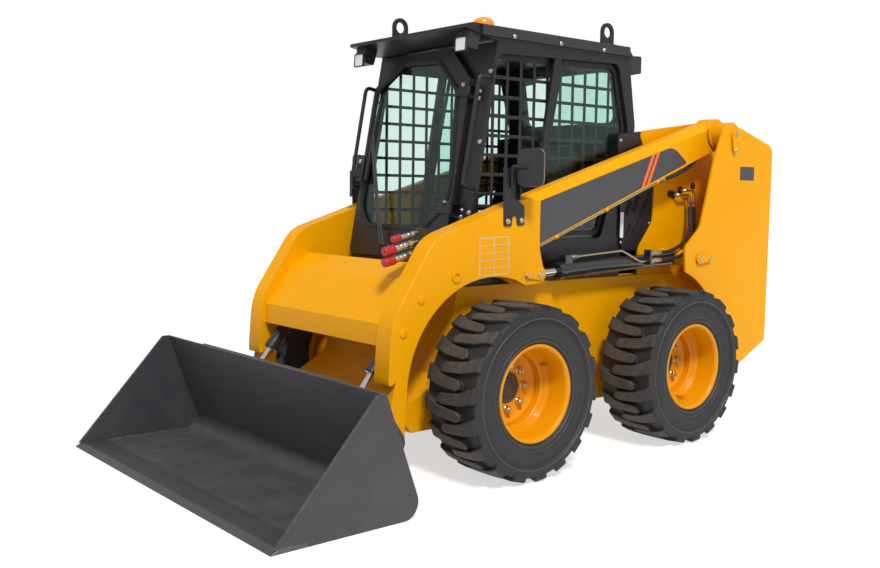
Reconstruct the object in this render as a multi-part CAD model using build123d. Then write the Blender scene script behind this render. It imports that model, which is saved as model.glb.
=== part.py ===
from build123d import *
import os
from math import atan2, cos, degrees, hypot, radians, sin, tan

# Skid steer loader with a bucket, in millimetres. X points forward, Y to the machine's left and Z up.
# The origin is on the ground under the middle of the whole length, with the bucket flat on the ground.

# Wheels
TYRE_R = 398                # over the tread
TYRE_W = 320
TREAD_TRACK = 1484          # left tyre's middle to right tyre's middle
WHEELBASE = 1152
BEAD_R = 206                # rim's bead seat, which the tyre sits on
FLANGE_R = 228              # rim's outer flange
RIM_W = 286
DISC_INSET = 96             # rim's outer edge in to the disc's face
HUB_BORE_R = 30
STUD_CIRCLE_R = 101.6
STUD_HOLE_R = 9
STUD_COUNT = 8

# Widths, from the middle outwards
FOOTWELL_HALF = 330
CAB_HALF = 450
CHASSIS_HALF = 480
ARM_GAP = 10                # chassis side to a lift arm
ARM_T = 105                 # a lift arm's box section
PIVOT_BOSS_L = 93           # lift arm out to the tower's outer plate
PLATE = 12                  # plates of the chassis and towers
BUCKET_W = 1880

# Lengths and heights
ARCH_GAP = 96               # tyre to the frame and arms around it
REAR_OVERHANG = 952         # rear axle to the rearmost face
BUCKET_REACH = 809          # bucket's hinge to its cutting edge
LEG_BACKSET = 71            # wheel arch to the bucket's hinge
BELLY_Z = 201               # ground clearance
DECK_RISE = 444             # axle line up to the chassis deck
CAB_H = 1208                # deck up to the roof
PIVOT_RISE = 1215           # axle line up to the arms' pivot
PIVOT_BACKSET = 557         # rear axle back to the arms' pivot
HINGE_Z = 205               # bucket's hinge

# Pins and cylinders
RUN = 0.05                  # running clearance of a pin in its bore, on the radius
PIVOT_PIN_R = 34
PIN_R = 20
LIFT_BARREL_R = 38
LIFT_ROD_R = 20
LIFT_BARREL_L = 948         # base pin to gland
TILT_BARREL_R = 31
TILT_ROD_R = 16
TILT_BARREL_L = 545
EYE_W = 50                  # width of a cylinder's eye
EYE_CLEAR = 3               # side play of an eye between its ears

PIN_KEEP = 6                # pin's end standing out of its outer plate

# Engine
ENGINE_L = 620
ENGINE_W = 520
ENGINE_H = 640
ENGINE_FORWARD = 330        # rearmost face to the engine
ENGINE_UP = 110             # belly to the engine

# Bucket and attachment frame
BACK_LEAN = 20.3            # bucket's back leans forward from upright, in degrees
BACK_FORWARD = 113          # hinge to the back's foot
BUCKET_H = 515
LIP_DEPTH = 42
SHEET = 12                  # bucket's plates
EDGE_DEPTH = 150
EDGE_T = 18
FRAME_T = 16                # attachment frame's face plate
FRAME_OVERHANG = 30         # face plate past the lift arm's outer side
TILT_CURL = 80              # tilt rod still to draw in from rest when the bucket curls back

# Cab
CAB_LEAN = 10.65            # cab's front leans back from upright, in degrees
CAB_WALL = 35
RING_T = 26                 # front ring behind the door
EAVES_DROP = 62
VISOR = 66                  # roof's brim past the front axle
VISOR_RISE = 36             # brim's underside up to its front edge
CAB_FORWARD = 98            # front axle to the foot of the cab's front
SKIRT_H = 58
DOOR_T = 34
DOOR_RIGHT = -425
DOOR_LEFT = 335
HINGE_OUT = 16              # door's hinge line out from the cab's front
HINGE_SPOTS = (300, 868)    # up the cab's front from its foot
HINGE_PIN_R = 7
GLASS_T = 6
REAR_GLASS_HALF = 330
SCREEN_PITCH = 92
SCREEN_WEB = 16
SCREEN_T = 5
TUBE_R = 14                 # lap bar's tube
EYE_PLATE_T = 12
EYE_PLATE_HALF = 48
EYE_HOLE_R = 28
EYE_HOLE_UP = 66

# Rear covers
HOOD_RISE = 1020            # axle line up to the hood
HOOD_BACKSET = 1190         # front axle back to the hood's front edge
HOOD_PIN_R = 8
LOUVRE_COUNT = 9
LOUVRE_PITCH = 52
DOOR_SHEET = 32             # engine door's folded edge
DOOR_PIN_R = 5
SEAT_GAP = 0.3              # a bolted-on piece off the one that carries it

# Worked out from the above
AXLE_Z = TYRE_R
ARCH_R = TYRE_R + ARCH_GAP
FRONT_REACH = ARCH_R + LEG_BACKSET + BUCKET_REACH
FRONT_X = (REAR_OVERHANG + WHEELBASE + FRONT_REACH) / 2 - FRONT_REACH
REAR_X = FRONT_X - WHEELBASE
TAIL_X = REAR_X - REAR_OVERHANG
DECK_Z = AXLE_Z + DECK_RISE
ROOF_Z = DECK_Z + CAB_H
ARM_IN = CHASSIS_HALF + ARM_GAP
ARM_OUT = ARM_IN + ARM_T
TOWER_IN = CHASSIS_HALF - 10
TOWER_OUT = ARM_OUT + PIVOT_BOSS_L + PLATE
WHEEL_Y = TREAD_TRACK / 2
ENGINE_X = TAIL_X + ENGINE_FORWARD
ENGINE_Z = BELLY_Z + ENGINE_UP
EAVES_Z = ROOF_Z - EAVES_DROP
CAB_FOOT_Z = DECK_Z + SKIRT_H
CAB_FRONT_X = FRONT_X + CAB_FORWARD
CAB_INNER = CAB_HALF - CAB_WALL
FRONT_RISE = (EAVES_Z - CAB_FOOT_Z) / cos(radians(CAB_LEAN))
FRONT_FACE = Plane(
    origin=(CAB_FRONT_X, 0, CAB_FOOT_Z), x_dir=(0, 1, 0),
    z_dir=(cos(radians(CAB_LEAN)), 0, sin(radians(CAB_LEAN))),
)
HINGE_Y = DOOR_LEFT + 15
EYE_SPOTS = ((FRONT_X - 90, 220 - CAB_HALF), (FRONT_X - 960, CAB_HALF - 40))
FRAME_HALF = ARM_OUT + FRAME_OVERHANG
EYE_HALF = EYE_W / 2 + EYE_CLEAR
HOOD_Z = AXLE_Z + HOOD_RISE
HOOD_FRONT_X = FRONT_X - HOOD_BACKSET
HOOD_PIN = (HOOD_FRONT_X - 140, HOOD_Z - 28)
COVER_HALF = TOWER_IN - PLATE - 11
DOOR_FOOT_Z = AXLE_Z + 108
DOOR_HINGE_Y = COVER_HALF - 2
DOOR_PIN_X = TAIL_X + 10
DOOR_TOP_HINGE_Z = HOOD_Z - 230
BUCKET_RISE = BUCKET_H / cos(radians(BACK_LEAN))


UP = (Align.CENTER, Align.CENTER, Align.MIN)
DOWN = (Align.CENTER, Align.CENTER, Align.MAX)


def polar(x, z, radius, angle):
    """Point at a radius and an angle in degrees from (x, z), in the side view."""
    return x + radius * cos(radians(angle)), z + radius * sin(radians(angle))


PIVOT = (REAR_X - PIVOT_BACKSET, AXLE_Z + PIVOT_RISE)
HINGE = (FRONT_X + ARCH_R + LEG_BACKSET, HINGE_Z)
LIFT_BASE = polar(REAR_X, AXLE_Z, ARCH_R + 104, 116.7)
LIFT_EYE = polar(FRONT_X, AXLE_Z, ARCH_R + 84, 121.6)
TILT_BASE = (FRONT_X + 225, AXLE_Z + 507)
TILT_EYE = (HINGE[0] + 90, HINGE[1] + 167)
LIFT_Y = (ARM_IN + ARM_OUT) / 2
TILT_Y = ARM_IN - 60
BACK_FOOT_X = HINGE[0] + BACK_FORWARD
EDGE_X = HINGE[0] + BUCKET_REACH
CAB_BACK = ((FRONT_X - 1100, EAVES_Z), (FRONT_X - 1160, ROOF_Z - 412), (FRONT_X - 1060, DECK_Z))
CAB_BACK_INNER = ((FRONT_X - 1070, EAVES_Z), (FRONT_X - 1128, ROOF_Z - 412), (FRONT_X - 1030, DECK_Z))


# ---------------------------------------------------------------- drawing aids

def outline(points, radii=0):
    """Closed profile through points, with one corner radius or a radius for each corner."""
    return make_face(FilletPolyline(*points, radius=radii, close=True))


def across(profile, y_low, y_high):
    """Side profile of (x, z) points, drawn across the machine from y_low to y_high."""
    return Pos(0, y_high, 0) * extrude(Plane.XZ * profile, amount=y_high - y_low)


def forward(profile, x_low, x_high):
    """End profile of (y, z) points, drawn forward from x_low to x_high."""
    return Pos(x_low, 0, 0) * extrude(Plane.YZ * profile, amount=x_high - x_low)


def disc_at(point, radius):
    """Round profile for a side view, centred on a point."""
    return Pos(*point) * Circle(radius)


def shaft(point, radius, y_low, y_high):
    """Round bar across the machine through a side-view point."""
    return across(disc_at(point, radius), y_low, y_high)


def block(x_low, x_high, y_low, y_high, z_low, z_high):
    """Square-cornered block between six planes."""
    size = (x_high - x_low, y_high - y_low, z_high - z_low)
    return Pos(x_low, y_low, z_low) * Box(*size, align=(Align.MIN, Align.MIN, Align.MIN))


def both_sides(piece):
    """A left-hand piece with its right-hand mirror image."""
    return piece + mirror(piece, about=Plane.XZ)


def right_hand(piece):
    """Right-hand mirror image of a left-hand piece."""
    return mirror(piece, about=Plane.XZ)


def tube_path(points, radius, bends):
    """Round bar along straight runs joined by bends."""
    path = FilletPolyline(*points, radius=bends)
    return sweep(Plane(path @ 0, z_dir=path % 0) * Circle(radius), path)


def angle_of(start, end):
    """Direction from one side-view point to another, in degrees above forward."""
    return degrees(atan2(end[1] - start[1], end[0] - start[0]))


def reach(start, end):
    """Distance between two side-view points."""
    return hypot(end[0] - start[0], end[1] - start[1])


def beside(line, along, off):
    """Side-view point a distance along a line of two points and off it to its right."""
    (ax, az), (bx, bz) = line
    run = hypot(bx - ax, bz - az)
    ux, uz = (bx - ax) / run, (bz - az) / run
    return ax + along * ux + off * uz, az + along * uz - off * ux


def lay_along(piece, start, end, y):
    """Turn a piece drawn along +X from the origin so that it lies from start to end at width y."""
    return Location((start[0], y, start[1]), (0, -angle_of(start, end), 0)) * piece


def turned(profile_points):
    """Solid of revolution about the X axis from (x, radius) points."""
    return revolve(make_face(Polyline(*profile_points, close=True)), axis=Axis.X)


# ---------------------------------------------------------------- wheels

def tyre():
    """Tyre with its axis along Y: tread, shoulders, bulged walls and beads round a hollow."""
    half = TYRE_W / 2
    bead = RIM_W / 2 - 8
    profile = [
        (half - 46, TYRE_R), (half - 8, TYRE_R - 30), (half, TYRE_R - 78), (half - 6, BEAD_R + 62),
        (bead, BEAD_R + 24), (bead, BEAD_R), (bead - 34, BEAD_R), (half - 44, BEAD_R + 66),
        (half - 40, TYRE_R - 70), (half - 62, TYRE_R - 40),
    ]
    ring = profile + [(-x, r) for x, r in reversed(profile)]
    return Rot(0, 0, 90) * turned(ring)


def rim():
    """Deep-dish wheel with its outer side towards +Y: flanges, drop centre, stepped disc and hub."""
    edge = RIM_W / 2
    face = edge - DISC_INSET
    sheet = 8
    outside = [
        (edge, FLANGE_R), (edge - 8, FLANGE_R), (edge - 8, BEAD_R), (edge - 58, BEAD_R),
        (edge - 84, BEAD_R - 30), (-edge + 84, BEAD_R - 30), (-edge + 58, BEAD_R),
        (-edge + 8, BEAD_R), (-edge + 8, FLANGE_R), (-edge, FLANGE_R),
    ]
    inside = [
        (-edge, BEAD_R - sheet), (-edge + 62, BEAD_R - sheet), (-edge + 88, BEAD_R - 30 - sheet),
        (edge - 88, BEAD_R - 30 - sheet), (edge - 62, BEAD_R - sheet), (edge, BEAD_R - sheet),
    ]
    well = BEAD_R - 30 - sheet
    dish = [
        (face - 12, well), (face + 14, well), (face + 14, well - 22), (face, well - 34),
        (face, HUB_BORE_R + RUN), (face - 100, HUB_BORE_R + RUN), (face - 100, 62),
        (face - 12, 74), (face - 12, well - 34), (face - 4, well - 22),
    ]
    wheel = turned(outside + inside) + turned(dish)
    for index in range(STUD_COUNT):
        spot = Rot(index * 360 / STUD_COUNT, 0, 0) * Pos(face, 0, STUD_CIRCLE_R)
        wheel -= spot * Rot(0, 90, 0) * Cylinder(STUD_HOLE_R, 60)
    return Rot(0, 0, 90) * wheel


def axle_hubs():
    """Four axle housings on the chain cases, each with the spindle that its wheel turns on."""
    hub_face = WHEEL_Y + RIM_W / 2 - DISC_INSET
    stub = [
        (CHASSIS_HALF, 0), (CHASSIS_HALF, 86), (CHASSIS_HALF + 16, 86), (CHASSIS_HALF + 16, 62),
        (hub_face - 106, 62), (hub_face - 106, HUB_BORE_R), (hub_face + 6, HUB_BORE_R),
        (hub_face + 6, 0),
    ]
    housing = Rot(0, 0, 90) * turned(stub)
    left = Pos(FRONT_X, 0, AXLE_Z) * housing + Pos(REAR_X, 0, AXLE_Z) * housing
    return both_sides(left)


# ---------------------------------------------------------------- chassis

def frame_side():
    """Side profile of the chassis tub, from its toe to its tail."""
    toe = FRONT_X + 380
    return [
        (toe, BELLY_Z), (toe + 50, BELLY_Z + 62), (toe + 5, BELLY_Z + 135), (FRONT_X + 200, AXLE_Z + 42),
        (FRONT_X + 118, DECK_Z - 20), (FRONT_X + 112, DECK_Z), (TAIL_X + 20, DECK_Z),
        (TAIL_X + 20, AXLE_Z + 37), (TAIL_X + 293, AXLE_Z - 97), (TAIL_X + 360, BELLY_Z),
    ]


def main_frame():
    """Chassis tub: chain cases, sides, belly, toe plate, engine rails and the rear cross beam."""
    side = outline(frame_side())
    case_top = block(TAIL_X + 60, FRONT_X + 420, FOOTWELL_HALF, CHASSIS_HALF, BELLY_Z, AXLE_Z + 222)
    shape = across(side, FOOTWELL_HALF, CHASSIS_HALF)
    case = shape & case_top
    wall = across(side, CHASSIS_HALF - PLATE, CHASSIS_HALF)
    ledge = shape & block(TAIL_X + 60, FRONT_X + 420, CAB_HALF - 60, CHASSIS_HALF, DECK_Z - 10, DECK_Z)
    tub = both_sides(case + wall + ledge)
    belly = block(TAIL_X + 360, FRONT_X + 380, -FOOTWELL_HALF, FOOTWELL_HALF, BELLY_Z, BELLY_Z + PLATE)
    toe = FRONT_X + 380
    toe_plate = across(outline([
        (toe, BELLY_Z), (toe + 50, BELLY_Z + 62), (toe + 5, BELLY_Z + 135), (FRONT_X + 200, AXLE_Z + 42),
        (FRONT_X + 118, DECK_Z - 20), (FRONT_X + 112, DECK_Z), (FRONT_X + 100, DECK_Z),
        (FRONT_X + 106, DECK_Z - 22), (FRONT_X + 188, AXLE_Z + 36), (toe - 8, BELLY_Z + 129),
        (toe + 35, BELLY_Z + 62), (toe - 6, BELLY_Z + 12),
    ]), -CHASSIS_HALF, CHASSIS_HALF)
    tail_plate = across(outline([
        (TAIL_X + 20, AXLE_Z + 37), (TAIL_X + 293, AXLE_Z - 97), (TAIL_X + 360, BELLY_Z),
        (TAIL_X + 366, BELLY_Z + 12), (TAIL_X + 300, AXLE_Z - 84), (TAIL_X + 32, AXLE_Z + 48),
        (TAIL_X + 32, AXLE_Z + 62), (TAIL_X + 20, AXLE_Z + 62),
    ]), -CHASSIS_HALF, CHASSIS_HALF)
    beam = block(TAIL_X + 20, TAIL_X + 90, -CHASSIS_HALF, CHASSIS_HALF, AXLE_Z + 62, AXLE_Z + 102)
    rails = both_sides(block(ENGINE_X - 60, ENGINE_X + ENGINE_L + 60, 180, 230, BELLY_Z + PLATE, ENGINE_Z))
    lug = block(TAIL_X + 2, TAIL_X + 22, DOOR_HINGE_Y - 8, DOOR_HINGE_Y + 8, AXLE_Z + 62, DOOR_FOOT_Z - 6)
    pin = Pos(DOOR_PIN_X, DOOR_HINGE_Y, DOOR_FOOT_Z - 18) * Cylinder(DOOR_PIN_R, 50, align=UP)
    return tub + belly + toe_plate + tail_plate + beam + rails + lug + pin


def engine():
    """Engine, pumps and radiator as one plain block on the chassis rails."""
    return block(ENGINE_X, ENGINE_X + ENGINE_L, -ENGINE_W / 2, ENGINE_W / 2, ENGINE_Z, ENGINE_Z + ENGINE_H)


def tower():
    """Left rear tower: inner wall, arched outer plate, rear closing plate, pins and their bosses."""
    arch = disc_at((REAR_X, AXLE_Z), ARCH_R)
    outer = outline([
        (REAR_X - 463, AXLE_Z + 1258), (REAR_X - 527, AXLE_Z + 1277), (TAIL_X, AXLE_Z + 1159),
        (TAIL_X, AXLE_Z + 37), (TAIL_X + 293, AXLE_Z - 97), (REAR_X - 430, AXLE_Z),
        (LIFT_BASE[0] + 110, LIFT_BASE[1] - 70), (LIFT_BASE[0] + 121, LIFT_BASE[1] + 64),
        (LIFT_BASE[0] - 8, LIFT_BASE[1] + 172), (REAR_X - 380, AXLE_Z + 1059),
    ], [60, 30, 60, 20, 20, 0, 45, 45, 80, 120]) - arch
    inner = outline([
        (REAR_X - 24, AXLE_Z + 1216), (REAR_X - 621, AXLE_Z + 1296), (TAIL_X, AXLE_Z + 1159),
        (TAIL_X, DECK_Z), (REAR_X - 45, DECK_Z), (REAR_X - 45, DECK_Z + 145),
        (REAR_X - 160, DECK_Z + 282), (REAR_X - 167, DECK_Z + 471),
    ], [30, 30, 60, 0, 0, 60, 60, 60])
    shape = across(outer, TOWER_OUT - PLATE, TOWER_OUT) + across(inner, TOWER_IN - PLATE, TOWER_IN)
    shape += block(TAIL_X, TAIL_X + PLATE, TOWER_IN - PLATE, TOWER_OUT - PLATE, DECK_Z, AXLE_Z + 1000)
    shape += block(TAIL_X, TAIL_X + PLATE, CHASSIS_HALF, TOWER_OUT - PLATE, AXLE_Z + 60, DECK_Z)
    shape += shaft(PIVOT, PIVOT_PIN_R, TOWER_IN - PLATE, TOWER_OUT + PIN_KEEP)
    shape += shaft(HOOD_PIN, HOOD_PIN_R, COVER_HALF - 14, TOWER_IN)
    shape += shaft(PIVOT, 66, ARM_OUT + 4, TOWER_OUT - PLATE)
    shape += shaft(PIVOT, 66, TOWER_IN, ARM_IN - 4)
    shape += shaft(LIFT_BASE, PIN_R, TOWER_IN, TOWER_OUT + PIN_KEEP)
    shape += shaft(LIFT_BASE, 44, LIFT_Y + EYE_HALF, TOWER_OUT - PLATE)
    shape += shaft(LIFT_BASE, 44, TOWER_IN, LIFT_Y - EYE_HALF)
    return shape


# ---------------------------------------------------------------- lift arms

def lift_arm():
    """Left lift arm: box tube from the pivot, deep gooseneck over the front tyre, leg to the bucket."""
    px, pz = PIVOT
    crest = (FRONT_X - 147, AXLE_Z + ARCH_R + 343)
    tube = outline([
        (px - 10, pz + 90), crest, (crest[0] + 60, crest[1] - 190), (FRONT_X - 299, AXLE_Z + ARCH_R + 136),
        (px, pz - 82),
    ])
    neck = outline([
        (FRONT_X - 320, crest[1] + 53), crest, (FRONT_X + 345, AXLE_Z + ARCH_R + 186),
        (FRONT_X + ARCH_R + 83, AXLE_Z + 338), (FRONT_X + ARCH_R + 107, AXLE_Z + 30),
        (HINGE[0] + 52, HINGE[1]), (HINGE[0] - 58, HINGE[1]), (FRONT_X + ARCH_R - 60, AXLE_Z),
        (LIFT_EYE[0] + 90, LIFT_EYE[1] - 80), (LIFT_EYE[0], LIFT_EYE[1] - 54),
        (FRONT_X - 338, LIFT_EYE[1]), (FRONT_X - 320, AXLE_Z + ARCH_R + 140),
    ], [0, 0, 60, 90, 60, 0, 0, 0, 0, 0, 0, 30])
    arch = disc_at((FRONT_X, AXLE_Z), ARCH_R)
    side = tube + (neck - arch) + disc_at(PIVOT, 90) + disc_at(HINGE, 58) + disc_at(LIFT_EYE, 56)
    arm = across(side, ARM_IN, ARM_OUT)
    arm += shaft(PIVOT, 80, ARM_OUT, ARM_OUT + 3.5)
    arm -= shaft(PIVOT, PIVOT_PIN_R + RUN, ARM_IN - 1, ARM_OUT + 5)
    arm -= shaft(HINGE, PIN_R + RUN, ARM_IN - 1, ARM_OUT + 1)
    ex, ez = LIFT_EYE
    pocket = disc_at(LIFT_EYE, 64) + outline([
        (ex, ez + 64), (ex - 130, ez + 64), (ex - 130, ez - 130), (ex + 64, ez - 130), (ex + 64, ez),
    ])
    arm -= across(pocket, LIFT_Y - EYE_HALF, LIFT_Y + EYE_HALF)
    arm += shaft(LIFT_EYE, 46, ARM_OUT, ARM_OUT + 8)
    arm += shaft(TILT_BASE, PIN_R, TILT_Y - EYE_HALF - PLATE, ARM_IN)
    arm += shaft(TILT_BASE, 38, TILT_Y + EYE_HALF, ARM_IN)
    return arm


def arm_cross_member():
    """Bent plate between the arms, boxed in its middle, with the tilt cylinders' inboard ears."""
    front = FRONT_X + ARCH_R
    z_low = HINGE[1] + 404
    skin = [
        (front + 66, z_low), (front + 60, z_low + 96), (front - 74, z_low + 279),
        (front - 194, z_low + 347), (front - 200, z_low + 336), (front - 82, z_low + 269),
        (front + 48, z_low + 92), (front + 54, z_low),
    ]
    member = across(outline(skin), -ARM_IN, ARM_IN)
    box = outline([
        (front + 52, z_low + 6), (front + 50, z_low + 92), (front - 82, z_low + 269),
        (front - 190, z_low + 330), (front - 184, z_low + 250),
    ])
    half = TILT_Y - 80
    member += across(box, -half, half)
    ear_in = TILT_Y - EYE_HALF
    ear = outline([
        (TILT_BASE[0] - 30, TILT_BASE[1] - 28), (TILT_BASE[0] + 12, TILT_BASE[1] - 40),
        (TILT_BASE[0] + 44, TILT_BASE[1] - 4), (front - 106, z_low + 226),
        (front - 82, z_low + 268), (front - 194, z_low + 336), (TILT_BASE[0] - 10, TILT_BASE[1] + 42),
    ]) + disc_at(TILT_BASE, 42)
    ears = across(ear, ear_in - PLATE, ear_in)
    ears -= shaft(TILT_BASE, PIN_R + RUN, ear_in - PLATE - 1, ear_in + 1)
    return member + both_sides(ears)


# ---------------------------------------------------------------- cylinders

def barrel(length, barrel_r, rod_r, pin_r):
    """Cylinder barrel along +X from its base pin, with a base eye, a bore and a gland."""
    bore_r = barrel_r - 8
    wall = turned([
        (barrel_r + 16, 0), (barrel_r + 16, barrel_r), (length, barrel_r), (length, rod_r + RUN),
        (length - 40, rod_r + RUN), (length - 40, bore_r), (barrel_r + 60, bore_r), (barrel_r + 60, 0),
    ])
    gland = turned([
        (length - 46, barrel_r), (length - 46, barrel_r + 5), (length - 4, barrel_r + 5),
        (length, barrel_r),
    ])
    eye = Rot(90, 0, 0) * Cylinder(pin_r + 20, EYE_W)
    neck = Box(barrel_r + 20, EYE_W, 2 * pin_r + 16, align=(Align.MIN, Align.CENTER, Align.CENTER))
    bore = Rot(90, 0, 0) * Cylinder(pin_r + RUN, EYE_W + 2)
    return wall + gland + (eye + neck - bore)


def rod(length, piston_x, barrel_r, rod_r, pin_r):
    """Cylinder rod drawn at rest: its eye lies at length from the base pin, its piston at piston_x."""
    bore_r = barrel_r - 8
    bar = turned([
        (piston_x, 0), (piston_x, bore_r - RUN), (piston_x + 34, bore_r - RUN), (piston_x + 34, rod_r),
        (length - pin_r - 12, rod_r), (length - pin_r - 12, 0),
    ])
    eye = Pos(length, 0, 0) * Rot(90, 0, 0) * Cylinder(pin_r + 18, EYE_W)
    return bar + eye


def lift_barrel():
    """Left lift cylinder's barrel, lying from the tower pin towards the arm."""
    return lay_along(barrel(LIFT_BARREL_L, LIFT_BARREL_R, LIFT_ROD_R, PIN_R), LIFT_BASE, LIFT_EYE, LIFT_Y)


def lift_rod():
    """Left lift cylinder's rod, drawn in."""
    length = reach(LIFT_BASE, LIFT_EYE)
    piece = rod(length, LIFT_BARREL_R + 66, LIFT_BARREL_R, LIFT_ROD_R, PIN_R)
    return lay_along(piece, LIFT_BASE, LIFT_EYE, LIFT_Y)


def tilt_barrel():
    """Left tilt cylinder's barrel, lying from the arm down to the bucket's coupler."""
    return lay_along(barrel(TILT_BARREL_L, TILT_BARREL_R, TILT_ROD_R, PIN_R), TILT_BASE, TILT_EYE, TILT_Y)


def tilt_rod():
    """Left tilt cylinder's rod."""
    length = reach(TILT_BASE, TILT_EYE)
    piece = rod(length, TILT_BARREL_R + 66 + TILT_CURL, TILT_BARREL_R, TILT_ROD_R, PIN_R - 2)
    return lay_along(piece, TILT_BASE, TILT_EYE, TILT_Y)


# ---------------------------------------------------------------- attachment frame and bucket

def back_point(up, off):
    """Side-view point a distance up the bucket's back face and off it towards the machine."""
    lean = radians(BACK_LEAN)
    x = BACK_FOOT_X + up * sin(lean) - off * cos(lean)
    return x, up * cos(lean) + off * sin(lean)


def bucket_side(inset, open_by):
    """Side profile of the bucket, drawn in by inset from its floor and back."""
    tip = (EDGE_X, 0)
    top = back_point(BUCKET_RISE, -inset)
    foot = back_point(inset / cos(radians(BACK_LEAN)), -inset)
    lip = (top[0] + LIP_DEPTH, top[1])
    if inset:
        return outline([
            (tip[0] + open_by, inset), (tip[0] + open_by, top[1] + open_by),
            (top[0] + open_by * 0.37, top[1] + open_by), (foot[0] + inset * tan(radians(BACK_LEAN)), inset),
        ], [0, 0, 0, 70 - inset])
    return outline([tip, lip, top, foot], [0, 0, 0, 70])


def bucket():
    """Bucket shell open at its front and top, with a lip tube, wear plates and the coupler's hook."""
    half = BUCKET_W / 2
    shell = across(bucket_side(0, 0), -half, half)
    shell -= across(bucket_side(SHEET, 400), -half + SHEET, half - SHEET)
    shell -= block(EDGE_X - EDGE_DEPTH, EDGE_X + 1, -half, half, -1, EDGE_T)
    top = BUCKET_RISE
    hook = across(outline([
        back_point(top - 90, 0), back_point(top - 20, 0), back_point(top - 20, 34),
        back_point(top - 78, 34), back_point(top - 78, 22), back_point(top - 62, 22),
        back_point(top - 62, 12),
    ]), -FRAME_HALF, FRAME_HALF)
    sill = across(outline([
        back_point(66, FRAME_T), back_point(50, FRAME_T), back_point(44, 4), back_point(48, -29),
        back_point(66, -15),
    ]), -FRAME_HALF, FRAME_HALF)
    return shell + hook + sill


def cutting_edge():
    """Bevelled cutting edge plate across the bucket's mouth."""
    back = EDGE_X - EDGE_DEPTH
    blade = outline([(EDGE_X, 0), (EDGE_X - 34, EDGE_T), (back, EDGE_T), (back, 0)])
    return across(blade, -BUCKET_W / 2, BUCKET_W / 2)


def attachment_frame():
    """Face plate with windows, ears round the arm's leg and the tilt rod, and the hinge pins."""
    low, high = 70, BUCKET_RISE - 92
    face = across(outline([
        back_point(low, 0.5), back_point(high, 0.5), back_point(high, FRAME_T), back_point(low, FRAME_T),
    ]), -FRAME_HALF, FRAME_HALF)
    window = outline([
        back_point(low + 60, -5), back_point(high - 50, -5), back_point(high - 50, 60),
        back_point(low + 60, 60),
    ])
    face -= both_sides(across(window, TILT_Y - EYE_HALF - 3, TILT_Y + EYE_HALF + 3))
    face -= across(window, -250, 250)
    ear = outline([
        (HINGE[0] - 20, HINGE[1] - 46), back_point(low + 10, 5), back_point(high - 20, 5),
        (TILT_EYE[0] - 8, TILT_EYE[1] + 42), (HINGE[0] - 46, HINGE[1] + 24),
    ]) + disc_at(HINGE, 48)
    ears = across(ear, TILT_Y - EYE_HALF - PLATE, TILT_Y - EYE_HALF)
    ears += across(ear, TILT_Y + EYE_HALF, ARM_IN - 3)
    ears += across(ear, ARM_OUT + 3, ARM_OUT + 3 + PLATE)
    ears += shaft(HINGE, PIN_R, ARM_IN - 4, ARM_OUT + 4 + PLATE)
    ears += shaft(HINGE, 34, ARM_OUT + 3 + PLATE, ARM_OUT + 11 + PLATE)
    return face + both_sides(ears)


# ---------------------------------------------------------------- cab

def front_line(z, back=0):
    """X of the cab's slanted front at a height, measured back square to it."""
    return CAB_FRONT_X - (z - CAB_FOOT_Z) * tan(radians(CAB_LEAN)) - back / cos(radians(CAB_LEAN))


def cab_opening():
    """Side opening of the cab, between its front post, eaves, rear post and sill."""
    return [
        (FRONT_X - 148, ROOF_Z - 122), (FRONT_X - 1015, ROOF_Z - 95), (FRONT_X - 1108, ROOF_Z - 430),
        (FRONT_X - 905, DECK_Z + 205), (FRONT_X - 55, DECK_Z + 205), (FRONT_X - 18, DECK_Z + 360),
    ]


def cab_side_profile():
    """Side outline of the cab under its roof."""
    return [(front_line(DECK_Z, DOOR_T), DECK_Z), (front_line(EAVES_Z, DOOR_T), EAVES_Z), *CAB_BACK]


def cab_frame():
    """Cab weldment: open sides with slanted posts, rear wall, front ring with hinge pins, and roof."""
    wall = across(outline(cab_side_profile(), [0, 0, 0, 40, 0]), CAB_INNER, CAB_HALF)
    wall -= across(outline(cab_opening(), 40), CAB_INNER - 1, CAB_HALF + 1)
    post = across(outline([
        (FRONT_X - 592, EAVES_Z), (FRONT_X - 545, EAVES_Z), (FRONT_X - 382, DECK_Z + 200),
        (FRONT_X - 432, DECK_Z + 200),
    ]), CAB_HALF - 27, CAB_HALF - 6)
    rear = across(outline([*CAB_BACK, *reversed(CAB_BACK_INNER)]), -CAB_INNER, CAB_INNER)
    rear -= forward(outline([
        (-REAR_GLASS_HALF, ROOF_Z - 385), (REAR_GLASS_HALF, ROOF_Z - 385),
        (REAR_GLASS_HALF, ROOF_Z - 115), (-REAR_GLASS_HALF, ROOF_Z - 115),
    ], 40), FRONT_X - 1200, FRONT_X - 1000)
    ring = outline([(-CAB_INNER, 0), (CAB_INNER, 0), (CAB_INNER, FRONT_RISE), (-CAB_INNER, FRONT_RISE)])
    ring -= outline([
        (DOOR_RIGHT + 40, 70), (DOOR_LEFT - 40, 70), (DOOR_LEFT - 40, FRONT_RISE - 150),
        (130, FRONT_RISE - 26), (-200, FRONT_RISE - 26), (DOOR_RIGHT + 40, FRONT_RISE - 150),
    ], 30)
    front = FRONT_FACE * Pos(0, 0, -DOOR_T) * extrude(ring, amount=-RING_T)
    roof = across(outline([
        (FRONT_X - 106, EAVES_Z), (FRONT_X + VISOR, EAVES_Z + VISOR_RISE), (FRONT_X + VISOR, ROOF_Z - 10),
        (FRONT_X + VISOR - 40, ROOF_Z), (FRONT_X - 1080, ROOF_Z), (FRONT_X - 1122, EAVES_Z + 20),
        (FRONT_X - 1110, EAVES_Z),
    ]), -CAB_HALF - 4, CAB_HALF + 4)
    return both_sides(wall + post) + rear + front + roof + hinge_pins()


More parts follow.
